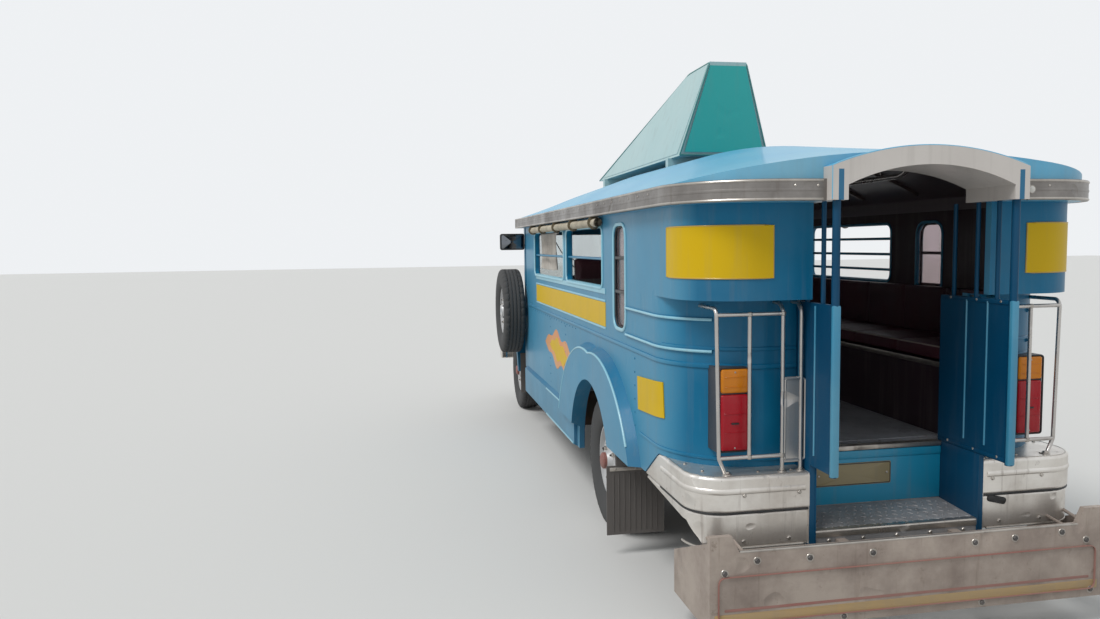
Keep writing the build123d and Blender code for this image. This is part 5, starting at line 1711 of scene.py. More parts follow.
@dataclass
class BumperTrim:
    """Lips, bolts, painted seam shadow and slots in painted shade of the two wrapped rear bumpers, and the
    marker on the left.
    """

    half: float = 0.87
    rear: float = 0.005
    radius: float = 0.15
    top: float = 0.69
    seam: float = 0.545

    def build(self) -> None:
        """All of the fittings on both bumpers."""
        make_piece("bumper_lips", pair(*self.lips()))
        make_piece("bumper_fittings", [*self.fittings(), self.slot_shade_plate()])
        make_piece("rear_marker", self.marker())

    def wrap(self, proud: float, inset: float = 0.0) -> Array:
        """Plan of the bumper's skin: straight side, quarter circle, straight rear."""
        r, turn = self.radius + proud, np.linspace(0, np.pi / 2, 12)
        cx, cy = at(self.rear) + self.radius, self.half - self.radius
        arc = np.stack((cx - r * np.sin(turn), cy + r * np.cos(turn)), -1)
        side = [(at(0.42) - inset, cy + r), (at(0.28), cy + r)]
        face = [(at(self.rear) - proud, y) for y in (0.6, 0.39 + inset)]
        return np.concatenate((side, arc, face))

    def lips(self) -> list[Form]:
        """Rolled lip on the upper edge, a dark line in the seam as its painted shadow, a pressed swage and
        the lower lip.
        """
        low = at_height(self.wrap(-0.0075, 0.02)[2:], 0.404)
        return [
            carried(at_height(self.wrap(-0.012, 0.01), self.top - 0.002), ring(0.004, 8), STAINLESS),
            # dark line in the seam: painted shadow
            carried(at_height(self.wrap(-0.0045), self.seam), ring(0.0045, 8), BLACK_TRIM_AND_SHADE),
            carried(at_height(self.wrap(-0.002, 0.015), self.top - 0.058), ring(0.006, 8, 2.2), BUMPER),
            carried(low, ring(0.005, 8), STAINLESS),
        ]

    def fittings(self) -> list[Form]:
        """Bolts along the deck and through the tiers, and the closed inner end."""
        deck_at = ((0.06, 0.44), (0.06, 0.58), (0.06, 0.70), (0.12, 0.79), (0.24, 0.82), (0.36, 0.82))
        deck = [(at(x), y, self.top + 0.0005) for x, y in deck_at]
        face = [(at(self.rear) - 0.0005, y, 0.615) for y in (0.43, 0.66)]
        low = [(at(0.0108), y, 0.43) for y in (0.47, 0.66)]
        return pair(
            studs(deck, UP, 0.007, 0.004, STAINLESS),
            studs(face, REAR, 0.0085, 0.005, STAINLESS),
            studs(low, REAR, 0.0085, 0.005, STAINLESS),
            block((at(0.006), 0.3865, 0.402), (at(0.03), 0.3895, 0.686), 0.0012, BUMPER),
        )

    def slot_shade_plate(self) -> Form:
        """Open slot on the right lower tier, shown as a dark plate with a rounded rim that paints the shade
        inside the slot.
        """
        # dark plate standing for the slot: painted shade
        centre = (at(0.0105), -0.455, 0.522)
        plate = disc_plate(oblong(0.09, 0.03, 0.014), centre, RIGHT, UP, 0.004, BLACK_TRIM_AND_SHADE, 0.004)
        return plate.turned(FRONT, 14, centre)

    def marker(self) -> list[Form]:
        """Small white cone on a bracket above the board's left end."""
        y = 0.80
        profile = [(0, 0.0), (0, 0.042), (0.012, 0.044), (0.02, 0.036), (0.075, 0.016), (0.085, 0.0)]
        cone = revolved(profile, (at(-0.03), y, 0.36), (0.1, 0.35, 1), WHITE, 20)
        path = [(at(-0.06), y, 0.30), (at(-0.035), y, 0.33), (at(-0.03), y, 0.365)]
        return [cone, tube(path, 0.008, BLACK_TRIM_AND_SHADE, 0.01)]


@dataclass
class BoardTrim:
    """Bolts, painted border, bands and top rim of the hanging name board, which is left blank."""

    face_x: float = -0.115
    bolts_at: tuple = (
        (0.445, 0.395), (0.181, 0.393), (-0.263, 0.398), (-0.443, 0.402), (-0.658, 0.41), (-0.773, 0.37),
        (0.66, 0.4), (0.79, 0.36), (-0.8, 0.16), (0.8, 0.16), (0.3, 0.15), (-0.3, 0.15),
    )

    def build(self) -> None:
        """Bolts and stripes on the rear face."""
        x = at(self.face_x)
        places = [(x, y, z) for y, z in self.bolts_at]
        washer = [(0, 0.0), (0, 0.0165), (0.0015, 0.0155), (0.002, 0.0)]
        washers = [revolved(washer, p, REAR, STAINLESS, 14) for p in places]
        make_piece("board_bolts", [studs(places, REAR, 0.011, 0.007, SLATE), *washers])
        border = bead(upright(x - 0.001, (-0.815, 0.815), (0.165, 0.345)), 0.03, bar(0.003, 0.014), FADED_RED)
        bands = [
            disc_plate(oblong(wide, tall, r), (x, 0, z), RIGHT, UP, 0.0014, finish, 0.0008)
            for wide, tall, r, z, finish in (
                (1.66, 0.036, 0.004, 0.182, OCHRE), (1.58, 0.01, 0.003, 0.215, FADED_RED)
            )
        ]
        rim = tube([(x + 0.004, y, 0.4375) for y in (-0.73, 0.73)], 0.0055, STAINLESS)
        make_piece("board_border", [border, *bands, rim])


@dataclass
class TailLamps:
    """Upright lamps: the housing stays as the frame's node, with bezel, two lenses, ribs and screws on it."""

    rear: float = 0.1
    y: tuple[float, float] = (0.609, 0.722)
    low: float = 0.772
    split: float = 1.0
    high: float = 1.1

    def build(self) -> None:
        """Lenses and bezels of both lamps."""
        x, (inner, outer) = at(self.rear), self.y
        middle = (inner + outer) / 2
        red = block((x - 0.012, inner, self.low), (x + 0.02, outer, self.split - 0.002), 0.009, RED, 4)
        amber = block((x - 0.012, inner, self.split + 0.004), (x + 0.02, outer, self.high), 0.009, AMBER, 4)
        latch = block(
            (x - 0.0175, middle - 0.016, 0.879), (x - 0.01, middle + 0.016, 0.886), 0.002, BLACK_TRIM_AND_SHADE
        )
        rib_at = (
            (self.split + 0.03, AMBER), (self.high - 0.03, AMBER), (self.low + 0.075, RED), (
                self.low + 0.15, RED
            ),
        )
        ribs = [
            block(
                (x - 0.0145, inner + 0.01, z - 0.0015), (x - 0.01, outer - 0.01, z + 0.0015), 0.001, finish, 2
            )
            for z, finish in rib_at
        ]
        make_piece("tail_lenses", pair(red, amber, latch, *ribs))
        corners = upright(x - 0.002, (inner - 0.001, outer + 0.009), (self.low - 0.004, self.high + 0.003))
        bezel = bead(corners, 0.012, ring(0.004, 8), BLACK_TRIM_AND_SHADE, steps=5)
        screw_at = [(x - 0.012, middle, z) for z in (self.low + 0.012, self.high - 0.012)]
        make_piece(
            "tail_bezels", pair(bezel, studs(screw_at, REAR, 0.004, 0.002, STAINLESS))
        )


@dataclass
class RoadWheel:
    """One tyre with zigzag grooves and shoulder lugs, and its rim's nuts, hub cap and valve."""

    wheel: Wheel
    outer: float = 0.37
    depth: float = 0.008
    steps: int = 288
    teeth: int = 36
    wall: tuple = (
        (0.0625, 0.37), (0.074, 0.3655), (0.0825, 0.356), (0.0865, 0.346), (0.0895, 0.334), (0.0915, 0.318),
        (0.0925, 0.306), (0.0915, 0.300), (0.0925, 0.290), (0.0905, 0.272), (0.0885, 0.256), (0.086, 0.245),
        (0.078, 0.222), (0.07, 0.21), (0.0625, 0.205),
    )

    def build(self) -> None:
        """The tyre in place of its solid, and the fittings."""
        body, along, y, z, side = self.wheel.value
        name = "tyre_" + self.wheel.node_end if self.wheel is not Wheel.SPARE else "spare_tyre"
        centre = np.array((at(along), y, z))
        make_piece("tread_" + self.wheel.node_end, [self.tyre(centre)], body, (name,), 50)
        make_piece("hub_" + self.wheel.node_end, self.hub(centre, side), body)

    def tyre(self, centre: Array) -> Form:
        """Surface of turn and profile: radius = profile radius - groove depth inside the grooves.

        Four grooves run round with a zigzag of a sine, and bars cross the
        shoulders. Both are cut only into the crown. Each sidewall row is half
        width and radius, from the shoulder to the bead.
        """
        crown = np.linspace(-0.0625, 0.0625, 35)
        wall_y, wall_r = np.array(self.wall).T
        y = np.concatenate((-wall_y[::-1], crown[1:-1], wall_y))
        r = np.concatenate((wall_r[::-1], np.full(33, self.outer), wall_r))
        turn = np.linspace(0, 2 * np.pi, self.steps, endpoint=False)[:, None]
        zig = 0.0035 * np.sin(self.teeth * 2 * turn)
        away = np.min([np.abs(y[None] - zig - g) for g in (-0.045, -0.015, 0.015, 0.045)], axis=0)
        groove = np.clip((0.0042 - away) / 0.0015, 0, 1)
        lug = np.clip((np.sin(self.teeth * turn) - 0.62) / 0.15, 0, 1) * np.clip(
            (np.abs(y) - 0.048) / 0.003, 0, 1
        )
        cut = np.maximum(groove, lug) * np.clip((r - 0.34) / 0.012, 0, 1)
        rib = 0.0012 * np.clip(np.sin(60 * turn), 0, 1) * ((r > 0.322) & (r < 0.35))
        radius = r[None] - self.depth * cut
        wide = np.broadcast_to(np.sign(y)[None] * (np.abs(y)[None] - rib), radius.shape)
        grid = np.stack((radius * np.cos(turn), wide, radius * np.sin(turn)), -1) + centre
        return lattice(grid, TYRE, wrap=True, loop=True)

    def hub(self, centre: Array, side: int) -> list[Form]:
        """Ring of wheel nuts on studs, a domed cap on the road wheels, the rim's flange bead and a valve."""
        out, nuts, nut_ring = np.array((0, side, 0)), 6, 0.098
        turn = np.linspace(0, 2 * np.pi, nuts, endpoint=False) + 0.52
        places = np.stack(
            (nut_ring * np.cos(turn), np.full(nuts, side * 0.049), nut_ring * np.sin(turn)), -1
        ) + centre
        cap = [(0.0, 0.0), (0.0, 0.047), (0.02, 0.046), (0.028, 0.036), (0.03, 0.02), (0.0305, 0.0)]
        flange = [(0.061, 0.204), (0.0655, 0.2105), (0.0625, 0.216), (0.0575, 0.2125), (0.0585, 0.204)]
        stem = [centre + (0.13, side * 0.03, 0.02), centre + (0.15, side * 0.056, 0.023)]
        forms = [
            studs(places, out, 0.0135, 0.018, STAINLESS),
            studs(places + out * 0.014, out, 0.007, 0.014, SLATE, 8),
            revolved(cap, centre + out * 0.076, out, HUB_RED, 20),
            revolved(flange, centre, out, RIM, 48),
            tube(stem, 0.004, BLACK_TRIM_AND_SHADE, sides=8),
        ]
        return [f for f in forms if f.finish is not HUB_RED or self.wheel is not Wheel.SPARE]


@dataclass
class RoofTrim:
    """Band rivets and lips, the marker lamp, ceiling ribs, grab rails and the entry arch's bead with its
    painted shadow.
    """

    half: float = 0.925
    rear: float = -0.135
    radius: float = 0.385
    band_z: tuple[float, float] = (1.75, 1.83)
    rivet_z: float = 1.805

    def build(self) -> None:
        """Outside trim first, then the ceiling."""
        make_piece("band_trim", pair(*self.band()))
        make_piece("band_lamp", self.dot())
        make_piece("ceiling_ribs", self.ribs())
        make_piece("grab_rails", pair(*self.rails()))
        make_piece("arch_bead_and_shadow", self.arch())

    def band_plan(self, proud: float) -> Array:
        """Plan of the band's skin from the front of the left side to beside the entry."""
        r, turn = self.radius + proud, np.linspace(0, np.pi / 2, 18)
        cx, cy = at(self.rear) + self.radius, self.half - self.radius
        arc = np.stack((cx - r * np.sin(turn), cy + r * np.cos(turn)), -1)
        side = np.linspace((at(4.34), cy + r), arc[0], 12)[:-1]
        return np.concatenate((side, arc, [(at(self.rear) - proud, 0.42)]))

    def band(self) -> list[Form]:
        """Rolled lips on the band's upper and lower edge, a swage between, and rivets."""
        plan, (low, high) = self.band_plan(-0.002), self.band_z
        lips = [carried(at_height(plan, z), ring(0.0055, 8), STAINLESS) for z in (low + 0.006, high - 0.006)]
        swage = carried(at_height(self.band_plan(-0.0025), 1.79), ring(0.0045, 8, 1.8), BAND)
        side = row(*((at(d), self.half - 0.0005, self.rivet_z) for d in (0.4, 4.3)), 27)
        rear = [(at(self.rear) + 0.0005, y, self.rivet_z) for y in (0.44, 0.53)]
        rivets = [studs(places, way, 0.005, 0.003, STAINLESS) for places, way in ((side, LEFT), (rear, REAR))]
        return [*lips, swage, *rivets]

    def dot(self) -> list[Form]:
        """Small round white lamp near the entry on the right."""
        centre = (at(self.rear) - 0.0005, -0.45, 1.79)
        lamp = [(0, 0.0), (0, 0.013), (0.004, 0.013), (0.007, 0.009), (0.0085, 0.0)]
        rim = [(0, 0.0125), (0.003, 0.0165), (0.005, 0.0145), (0.004, 0.0125)]
        return [revolved(lamp, centre, REAR, WHITE, 16), revolved(rim, centre, REAR, STAINLESS, 16)]

    def ceiling(self, x: float, y: Array | float) -> Array:
        """Height of the ceiling: straight lines between the roof's stations along, a circle across."""
        stations = np.array([-0.122, 1.0, 2.1, 3.2, 4.392]) + REAR_FACE
        crown = 1.71 + np.interp(x, stations, [0.185, 0.335, 0.345, 0.315, 0.245])
        return circle_top(0.852, 1.808, float(crown), y)

    def ribs(self) -> list[Form]:
        """Bowed ribs across the ceiling with two long battens."""
        y = np.linspace(-0.78, 0.78, 33)
        x = np.linspace(at(0.42), at(4.2), 24)
        across = [
            np.column_stack((np.full(33, at(d)), y, self.ceiling(at(d), y) - 0.008))
            for d in np.arange(0.55, 4.2, 0.52)
        ]
        along = [
            np.column_stack((x, np.full(24, side), [float(self.ceiling(v, side)) - 0.012 for v in x]))
            for side in (-0.38, 0.38)
        ]
        ribs = [carried(path, bar(0.024, 0.018), CEILING_TRIM) for path in across]
        return ribs + [carried(path, bar(0.03, 0.014), CEILING_TRIM) for path in along]

    def rails(self) -> list[Form]:
        """Grab rail under the ceiling over each bench, on hangers."""
        y, z = 0.36, 1.9
        path = [(at(d), y, z + up) for d, up in ((0.5, 0.05), (0.56, 0.0), (2.86, 0.0), (2.92, 0.05))]
        forms = [tube(path, 0.0125, TUBE, 0.05, 12)]
        flange = [(0, 0.0), (0, 0.026), (0.005, 0.022), (0.006, 0.0)]
        for d in (0.75, 1.4, 2.05, 2.7):
            top = float(self.ceiling(at(d), y)) - 0.002
            forms.append(tube([(at(d), y, z), (at(d), y, top)], 0.007, TUBE, sides=8, lift=(1, 0, 0.1)))
            forms.append(revolved(flange, (at(d), y, top), DOWN, TUBE, 16))
        return forms

    def arch(self) -> list[Form]:
        """Rounded bead on the arch's rear edge: a circle over the middle between two straight legs, with a
        thin black line just below it as its painted shadow.
        """
        half, spring, top, foot = 0.402, 1.875, 1.947, 1.753
        y = np.linspace(-half, half, 33)
        path = np.column_stack((y, circle_top(half, spring, top, y)))
        path = np.concatenate(([(-half, foot)], path, [(half, foot)]))
        path = np.column_stack((np.full(len(path), at(-0.1765)), path))
        shadow = path * (1, 0.988, 1) - (0, 0, 0.008)
        return [
            carried(path, ring(0.0065, 8, 0.54), ROOF_PAINT, FRONT),
            # thin black line under the bead: painted shadow
            carried(shadow, ring(0.002, 6), BLACK_TRIM_AND_SHADE, FRONT),
        ]


@dataclass
class RoofSign:
    """Blank faces and rolled edges of the wedge-shaped sign box."""

    low_x: tuple[float, float] = (1.84, 3.84)
    high_x: tuple[float, float] = (1.78, 2.13)
    z: tuple[float, float] = (2.125, 2.67)
    half: tuple[float, float] = (0.28, 0.115)

    def build(self) -> None:
        """A panel on each side and the rear, and a bead along each edge."""
        (x0, x1), (x2, x3) = self.low_x, self.high_x
        (low, high), (wide, narrow) = self.z, self.half
        left = [(at(x1), wide, low), (at(x0), wide, low), (at(x2), narrow, high), (at(x3), narrow, high)]
        rear = [(at(x0), wide, low), (at(x0), -wide, low), (at(x2), -narrow, high), (at(x2), narrow, high)]
        faces = [*pair(panel(left, 0.003, SIGN_PALE, 0.03)), panel(rear, 0.003, SIGN, 0.04)]
        make_piece("sign_faces", faces, closed=False, crease=30)
        base, top = low + 0.004, high - 0.0055
        edges = []
        for side in (1, -1):
            corners = ((x0, wide, base), (x2, narrow, top), (x3, narrow, top), (x1, wide, base))
            path = [(at(d), side * y, z) for d, y, z in corners]
            edges.append(tube(path, 0.005, SIGN_EDGE, 0.02, 8, (0, side, 0.2)))
        across = tube([(at(x0), y, base) for y in (-wide, wide)], 0.005, SIGN_EDGE, sides=8)
        make_piece("sign_edges", [*edges, across])


@dataclass
class CurtainRolls:
    """Canvas rolled up along each side above the windows, tied with straps."""

    start: float = 1.38
    end: float = 3.62
    y: float = 0.903
    z: float = 1.718
    radius: float = 0.0272
    core: float = 0.007
    turns: float = 6.0
    straps_at: tuple = (0.04, 0.28, 0.52, 0.76, 0.96)

    def build(self) -> None:
        """A roll and its straps on each side; the rolls stand for the CAD rolls."""
        for side, word in ((1, "left"), (-1, "right")):
            points, length = self.roll(side)
            node = ("curtain_rolls",) if side == 1 else ()
            name, form = "rolled_curtain_" + word, lattice(points, CANVAS)
            made = make_piece(name, [form], replaces=node, closed=False, crease=180)
            strap = make_piece("curtain_straps_" + word, self.straps(side))

    def roll(self, side: int) -> tuple[Array, float]:
        """Spiral of cloth, drawn in at the straps, with soft dents and a slight sag between them.

        The radius grows evenly with the turn from the core out.

        Args:
            side: 1 for left, -1 for right.

        Returns:
            The grid of points, and the length of the spiral.
        """
        turn = np.linspace(0, 2 * np.pi * self.turns, int(18 * self.turns) + 1)
        u = np.linspace(0, 1, 113)
        radius = self.core + (self.radius - 0.002 - self.core) * turn / turn[-1]
        length = float(np.sum(np.hypot(np.diff(radius * np.cos(turn)), np.diff(radius * np.sin(turn)))))
        pinch = 1 - 0.07 * sum(np.exp(-(((u - s) / 0.012) ** 2)) for s in self.straps_at)
        dent = 1 + 0.035 * np.sin(31 * u)[:, None] * np.sin(2 * turn)[None] * (turn / turn[-1])[None]
        r = radius[None] * pinch[:, None] * dent
        sag = -0.0012 * np.sin(np.pi * ((u * 4) % 1))
        x = np.broadcast_to((at(self.start) + u * (self.end - self.start))[:, None], r.shape)
        y = side * (self.y + r * np.cos(turn))
        return np.stack((x, y, self.z + r * np.sin(turn) + sag[:, None]), -1), length

    def straps(self, side: int) -> list[Form]:
        """Webbing round the roll with a buckle bar each."""
        forms, turn, radius = [], np.linspace(0, 2 * np.pi, 28, endpoint=False), 0.0262
        y, z = side * (self.y + radius * np.cos(turn)), self.z + radius * np.sin(turn)
        for u in self.straps_at:
            x = at(self.start) + u * (self.end - self.start)
            path = np.stack((np.full(28, x), y, z), -1)
            forms.append(carried(path, bar(0.022, 0.0022), STRAP, FRONT, loop=True))
            low = (x - 0.013, side * (self.y - 0.006), self.z - 0.0305)
            high = (x + 0.013, side * (self.y + 0.008), self.z - 0.0262)
            forms.append(block(low, high, 0.0015, STAINLESS))
        return forms


@dataclass
class Seats:
    """Bench cushions and backrests with sewn channels, cab cushions blown up as cloth, and trim strips."""

    start: float = 0.335
    back_start: float = 0.49
    end: float = 2.955
    front_y: float = 0.433
    rear_y: float = 0.776
    top: float = 1.0503
    thick: float = 0.0785
    channels: int = 7
    voxel: float = 0.009
    frames: int = 20

    def build(self) -> None:
        """Long seats by formula, then the cab's."""
        seat = (at(self.start), self.front_y, self.top), (at(self.end), self.rear_y, self.top + self.thick)
        back = (at(self.back_start), 0.785, 1.111), (at(self.end), 0.8385, 1.356)
        table = (
            ("bench_seat_", "bench_cushions", seat, SEAT, 2),
            ("bench_back_", "bench_backrests", back, SEAT_BACK, 1),
        )
        for side, word in ((1, "left"), (-1, "right")):
            pads = [
                make_piece(
                    name + word,
                    [self.pad(*corners, side, finish, face)],
                    replaces=(node,) if side == 1 else (),
                )
                for name, node, corners, finish, face in table
            ]
        make_piece("bench_trim", pair(*self.trims()))
        self.cab()

    def pad(self, low: tuple, high: tuple, side: int, finish: Finish, face: int) -> Form:
        """Long pad: a rounded oblong section along X, whose showing face swells between sewn channels.

        The swell is height times the square root of |sine| of the channel
        count, less at the ends, with fine creases beside each seam; the
        underside stays flat.

        Args:
            low, high: the two corners on the left side.
            side: 1 left, -1 right.
            finish: the cover.
            face: 2 when the top shows, 1 when the side towards the aisle does.

        Returns:
            The closed pad.
        """
        a, b = np.array(low), np.array(high)
        half, middle = (b[1:] - a[1:]) / 2, (a[1:] + b[1:]) / 2
        turn = np.linspace(0, 2 * np.pi, 56, endpoint=False)
        squareness = 0.34
        sy, sz = (np.sign(v) * np.abs(v) ** squareness for v in (np.cos(turn), np.sin(turn)))
        u = np.linspace(0, 1, 40 * self.channels + 1)[:, None]
        seam = np.abs(np.sin(np.pi * self.channels * u))
        swell = seam**0.35
        ends = np.clip(np.minimum(u, 1 - u) * (b[0] - a[0]) / 0.03, 0.0, 1.0)
        round_ = np.sqrt(1 - (1 - ends) ** 2) * 0.16 + 0.84
        crease = 0.0011 * np.sin(90 * u + 3 * np.sin(11 * u) + 4 * sy[None]) * np.exp(-seam * 4)
        shown = sz if face == 2 else -sy
        drop = 0.014 * (1 - swell) + 0.0035 * (1 - np.sin(np.pi * np.clip(u * 3 % 1, 0, 1)))
        inward = np.clip(shown, 0, 1)[None] * (drop + crease)
        y = middle[0] + half[0] * sy[None] * round_
        z = middle[1] + half[1] * sz[None] * round_
        if face == 2:
            z = z - inward
            y = y + 0.006 * (1 - swell) * np.clip(-sy, 0, 1)[None]
        else:
            y = y + inward
        x = np.broadcast_to(a[0] + u * (b[0] - a[0]), y.shape)
        return lattice(capped(np.stack((x, side * y, z), -1)), finish, wrap=True)

    def trims(self) -> list[Form]:
        """Bright strip along the bench's front edge, with a row of tacks, and piping on the cushion."""
        y = self.front_y - 0.0045
        piping = [(at(d), self.front_y + 0.004, self.top + 0.066) for d in (0.36, 2.93)]
        tacks = row((at(0.4), y - 0.001, 1.038), (at(2.9), y - 0.001, 1.038), 24)
        return [
            block((at(0.34), y - 0.001, 1.026), (at(2.95), y + 0.002, 1.049), 0.001, STAINLESS),
            studs(tacks, RIGHT, 0.004, 0.003, STAINLESS),
            tube(piping, 0.0035, PIPING, sides=8),
        ]

    def cab(self) -> None:
        """Cab cushion and back of each side, from blocks blown up as cloth."""
        inner, outer = 0.158, 0.692
        table = (
            ("cab_cushion_", (3.110, 3.555), (0.988, 1.076), SEAT, 0.009),
            ("cab_back_", (2.988, 3.088), (1.082, 1.512), SEAT_BACK, 0.012),
        )
        for name, x, z, finish, cap in table:
            for side, word in ((1, "left"), (-1, "right")):
                low = (at(x[0]) + 0.006, side * (inner + 0.006), z[0] + 0.004)
                high = (at(x[1]) - 0.006, side * (outer - 0.006), z[1] - 0.008)
                node = ("cab_seats",) if finish is SEAT and side == 1 else ()
                form = block(low, high, 0.022, finish, 4)
                made = make_piece(name + word, [form], replaces=node)
                self.blow_up(made, cap)

    def blow_up(self, made: bpy.types.Object, cap: float) -> None:
        """Cloth simulation: remesh, pressure without gravity, movement held to the cap, then one subdivision.

        Args:
            made: the pad.
            cap: furthest that a point may move, in metres.
        """
        bpy.context.view_layer.objects.active = made
        remesh = made.modifiers.new("even", "REMESH")
        remesh.mode, remesh.voxel_size, remesh.use_smooth_shade = "VOXEL", self.voxel, True
        self.settle(made)
        start = self.read(made)
        cloth = made.modifiers.new("air", "CLOTH")
        cloth.settings.use_pressure = True
        cloth.settings.uniform_pressure_force = 4.0
        cloth.settings.effector_weights.gravity = 0.0
        cloth.settings.quality = 5
        cloth.point_cache.frame_start, cloth.point_cache.frame_end = 1, self.frames
        for frame in range(1, self.frames + 1):
            bpy.context.scene.frame_set(frame)
        self.settle(made)
        move = self.read(made) - start
        far = np.linalg.norm(move, axis=1, keepdims=True)
        held = start + move * np.minimum(1.0, cap / np.maximum(far, 1e-9))
        made.data.vertices.foreach_set("co", held.astype(np.float32).ravel())
        made.data.update()
        bpy.context.scene.frame_set(1)
        finer = made.modifiers.new("finer", "SUBSURF")
        finer.levels = finer.render_levels = 1

    def settle(self, made: bpy.types.Object) -> None:
        """Apply what the modifiers give, and drop them."""
        graph = bpy.context.evaluated_depsgraph_get()
        mesh = bpy.data.meshes.new_from_object(made.evaluated_get(graph))
        made.modifiers.clear()
        old = made.data
        made.data = mesh
        mesh.name = old.name
        mesh.shade_smooth()

    def read(self, made: bpy.types.Object) -> Array:
        """Places of the piece's points."""
        out = np.empty(len(made.data.vertices) * 3, np.float32)
        made.data.vertices.foreach_get("co", out)
        return out.reshape(-1, 3).astype(float)


@dataclass
class Cab:
    """Dials, pedals, levers, wheel cover and door fittings."""

    dash_x: float = 3.93
    dial_z: float = 1.165

    def build(self) -> None:
        """Everything round the driver."""
        make_piece("dash_dials", self.dials())
        make_piece("pedals_and_levers", self.controls())
        make_piece("door_fittings", self.door(), Body.DOOR)
        make_piece("handwheel_grip", self.grip(), Body.HANDWHEEL)

    def dials(self) -> list[Form]:
        """Bezels, faces and needles of three dials, four knobs, a shelf lip and the glove box lid."""
        forms, x, z = [], at(self.dash_x) - 0.001, self.dial_z
        for y, r in ((0.4, 0.045), (0.28, 0.03), (0.52, 0.03)):
            bezel = [(0, 0.0), (0, r), (0.008, r), (0.009, r * 0.88), (0.003, r * 0.84), (0.0025, 0.0)]
            face = [(0.003, 0.0), (0.003, r * 0.82), (0.0035, r * 0.80), (0.004, 0.0)]
            forms.append(revolved(bezel, (x, y, z), REAR, STAINLESS, 28))
            forms.append(revolved(face, (x, y, z), REAR, WHITE, 28))
            low, high = (x - 0.006, y - 0.0012, z - 0.004), (x - 0.0045, y + 0.0012, z + r * 0.7)
            forms.append(block(low, high, 0.0005, ORANGE, 2))
        knob = [(0, 0.009), (0.012, 0.007), (0.014, 0.013), (0.024, 0.012), (0.026, 0.0)]
        forms += [revolved(knob, (x, y, 1.12), REAR, BLACK_TRIM_AND_SHADE, 14) for y in (0.05, 0.11, -0.2, -0.32)]
        lip = tube([(x - 0.004, y, 1.086) for y in (-0.8, 0.8)], 0.005, STAINLESS, sides=8)
        return [*forms, lip, block((x - 0.004, -0.62, 1.11), (x + 0.002, -0.28, 1.21), 0.006, DASH)]

    def controls(self) -> list[Form]:
        """Three pedals on arms, a gear lever with its boot and a hand brake."""
        forms = []
        for y in (0.47, 0.33, 0.2):
            forms.append(
                tube([(at(4.04), y, 1.0), (at(3.99), y, 0.9), (at(3.93), y, 0.85)], 0.007, BLACK_TRIM_AND_SHADE, 0.03)
            )
            pad = block((-0.008, -0.035, -0.028), (0.004, 0.035, 0.028), 0.006, BLACK_TRIM_AND_SHADE)
            forms.append(pad.turned(LEFT, 32, (0, 0, 0)).moved((at(3.925), y, 0.85)))
        lever = [(at(3.86), 0.06, 0.724), (at(3.86), 0.06, 0.84), (at(3.74), 0.09, 1.06)]
        knob = [(0, 0.0), (0.003, 0.014), (0.018, 0.022), (0.034, 0.016), (0.04, 0.0)]
        boot = [
            (0, 0.0), (0, 0.06), (0.012, 0.05), (0.02, 0.052), (0.032, 0.036), (0.04, 0.04), (0.055, 0.014), (
                0.056, 0.0
            ),
        ]
        return [
            *forms,
            tube(lever, 0.009, TUBE, 0.06, 12),
            revolved(knob, (at(3.745), 0.089, 1.05), (-0.48, 0.12, 0.87), BLACK_TRIM_AND_SHADE, 18),
            revolved(boot, (at(3.86), 0.06, 0.7205), UP, BLACK_TRIM_AND_SHADE, 20),
            tube([(at(3.72), -0.02, 0.724), (at(3.66), -0.02, 0.95)], 0.008, TUBE),
            tube([(at(3.664), -0.02, 0.93), (at(3.645), -0.02, 1.01)], 0.013, BLACK_TRIM_AND_SHADE),
        ]

    def door(self) -> list[Form]:
        """Pull handle on its plate, and the kick strip with its screws, on the door leaf on the right."""
        low, high = map(np.array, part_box("cab_door"))
        rear, y, pull_z = low[0], float(low[1]), 1.24
        bends = (0.08, 0.001), (0.08, -0.022), (0.2, -0.022), (0.2, 0.001)
        pull = [(rear + d, y + out, pull_z) for d, out in bends]
        across = np.linspace(rear + 0.06, high[0] - 0.06, 6)
        return [
            tube(pull, 0.006, STAINLESS, 0.012),
            block((rear + 0.03, y - 0.002, 0.47), (high[0] - 0.03, y + 0.003, 0.6), 0.002, STAINLESS),
            studs(
                [(x, y - 0.002, z) for x in across for z in (0.485, 0.585)], RIGHT, 0.004, 0.002, STAINLESS
            ),
            disc_plate(oblong(0.17, 0.05, 0.02), (rear + 0.14, y, pull_z), FRONT, UP, 0.0025, STAINLESS),
        ]

    def grip(self) -> list[Form]:
        """Stitched sleeve round the steering wheel's rim: a ring's tube with a fine wave for the lacing."""
        axis = unit(np.array([-0.3, 0.0, 0.28]))
        centre = np.array((at(3.76), 0.4, 1.19)) + axis * 0.021
        u, v = (np.linspace(0, 2 * np.pi, count, endpoint=False) for count in (240, 14))
        u, v = np.meshgrid(u, v, indexing="ij")
        a = unit(np.cross(axis, LEFT))
        out = a * np.cos(u)[..., None] + np.cross(axis, a) * np.sin(u)[..., None]
        r = 0.0147 + 0.0006 * np.sin(60 * u + v)
        grid = centre + out * (0.2 + r * np.cos(v))[..., None] + axis * (r * np.sin(v))[..., None]
        boss = [(0.0, 0.0), (0.019, 0.040), (0.027, 0.036), (0.034, 0.02), (0.035, 0.0)]
        return [lattice(grid, GRIP, wrap=True, loop=True), revolved(boss, centre, axis, GRIP, 24)]


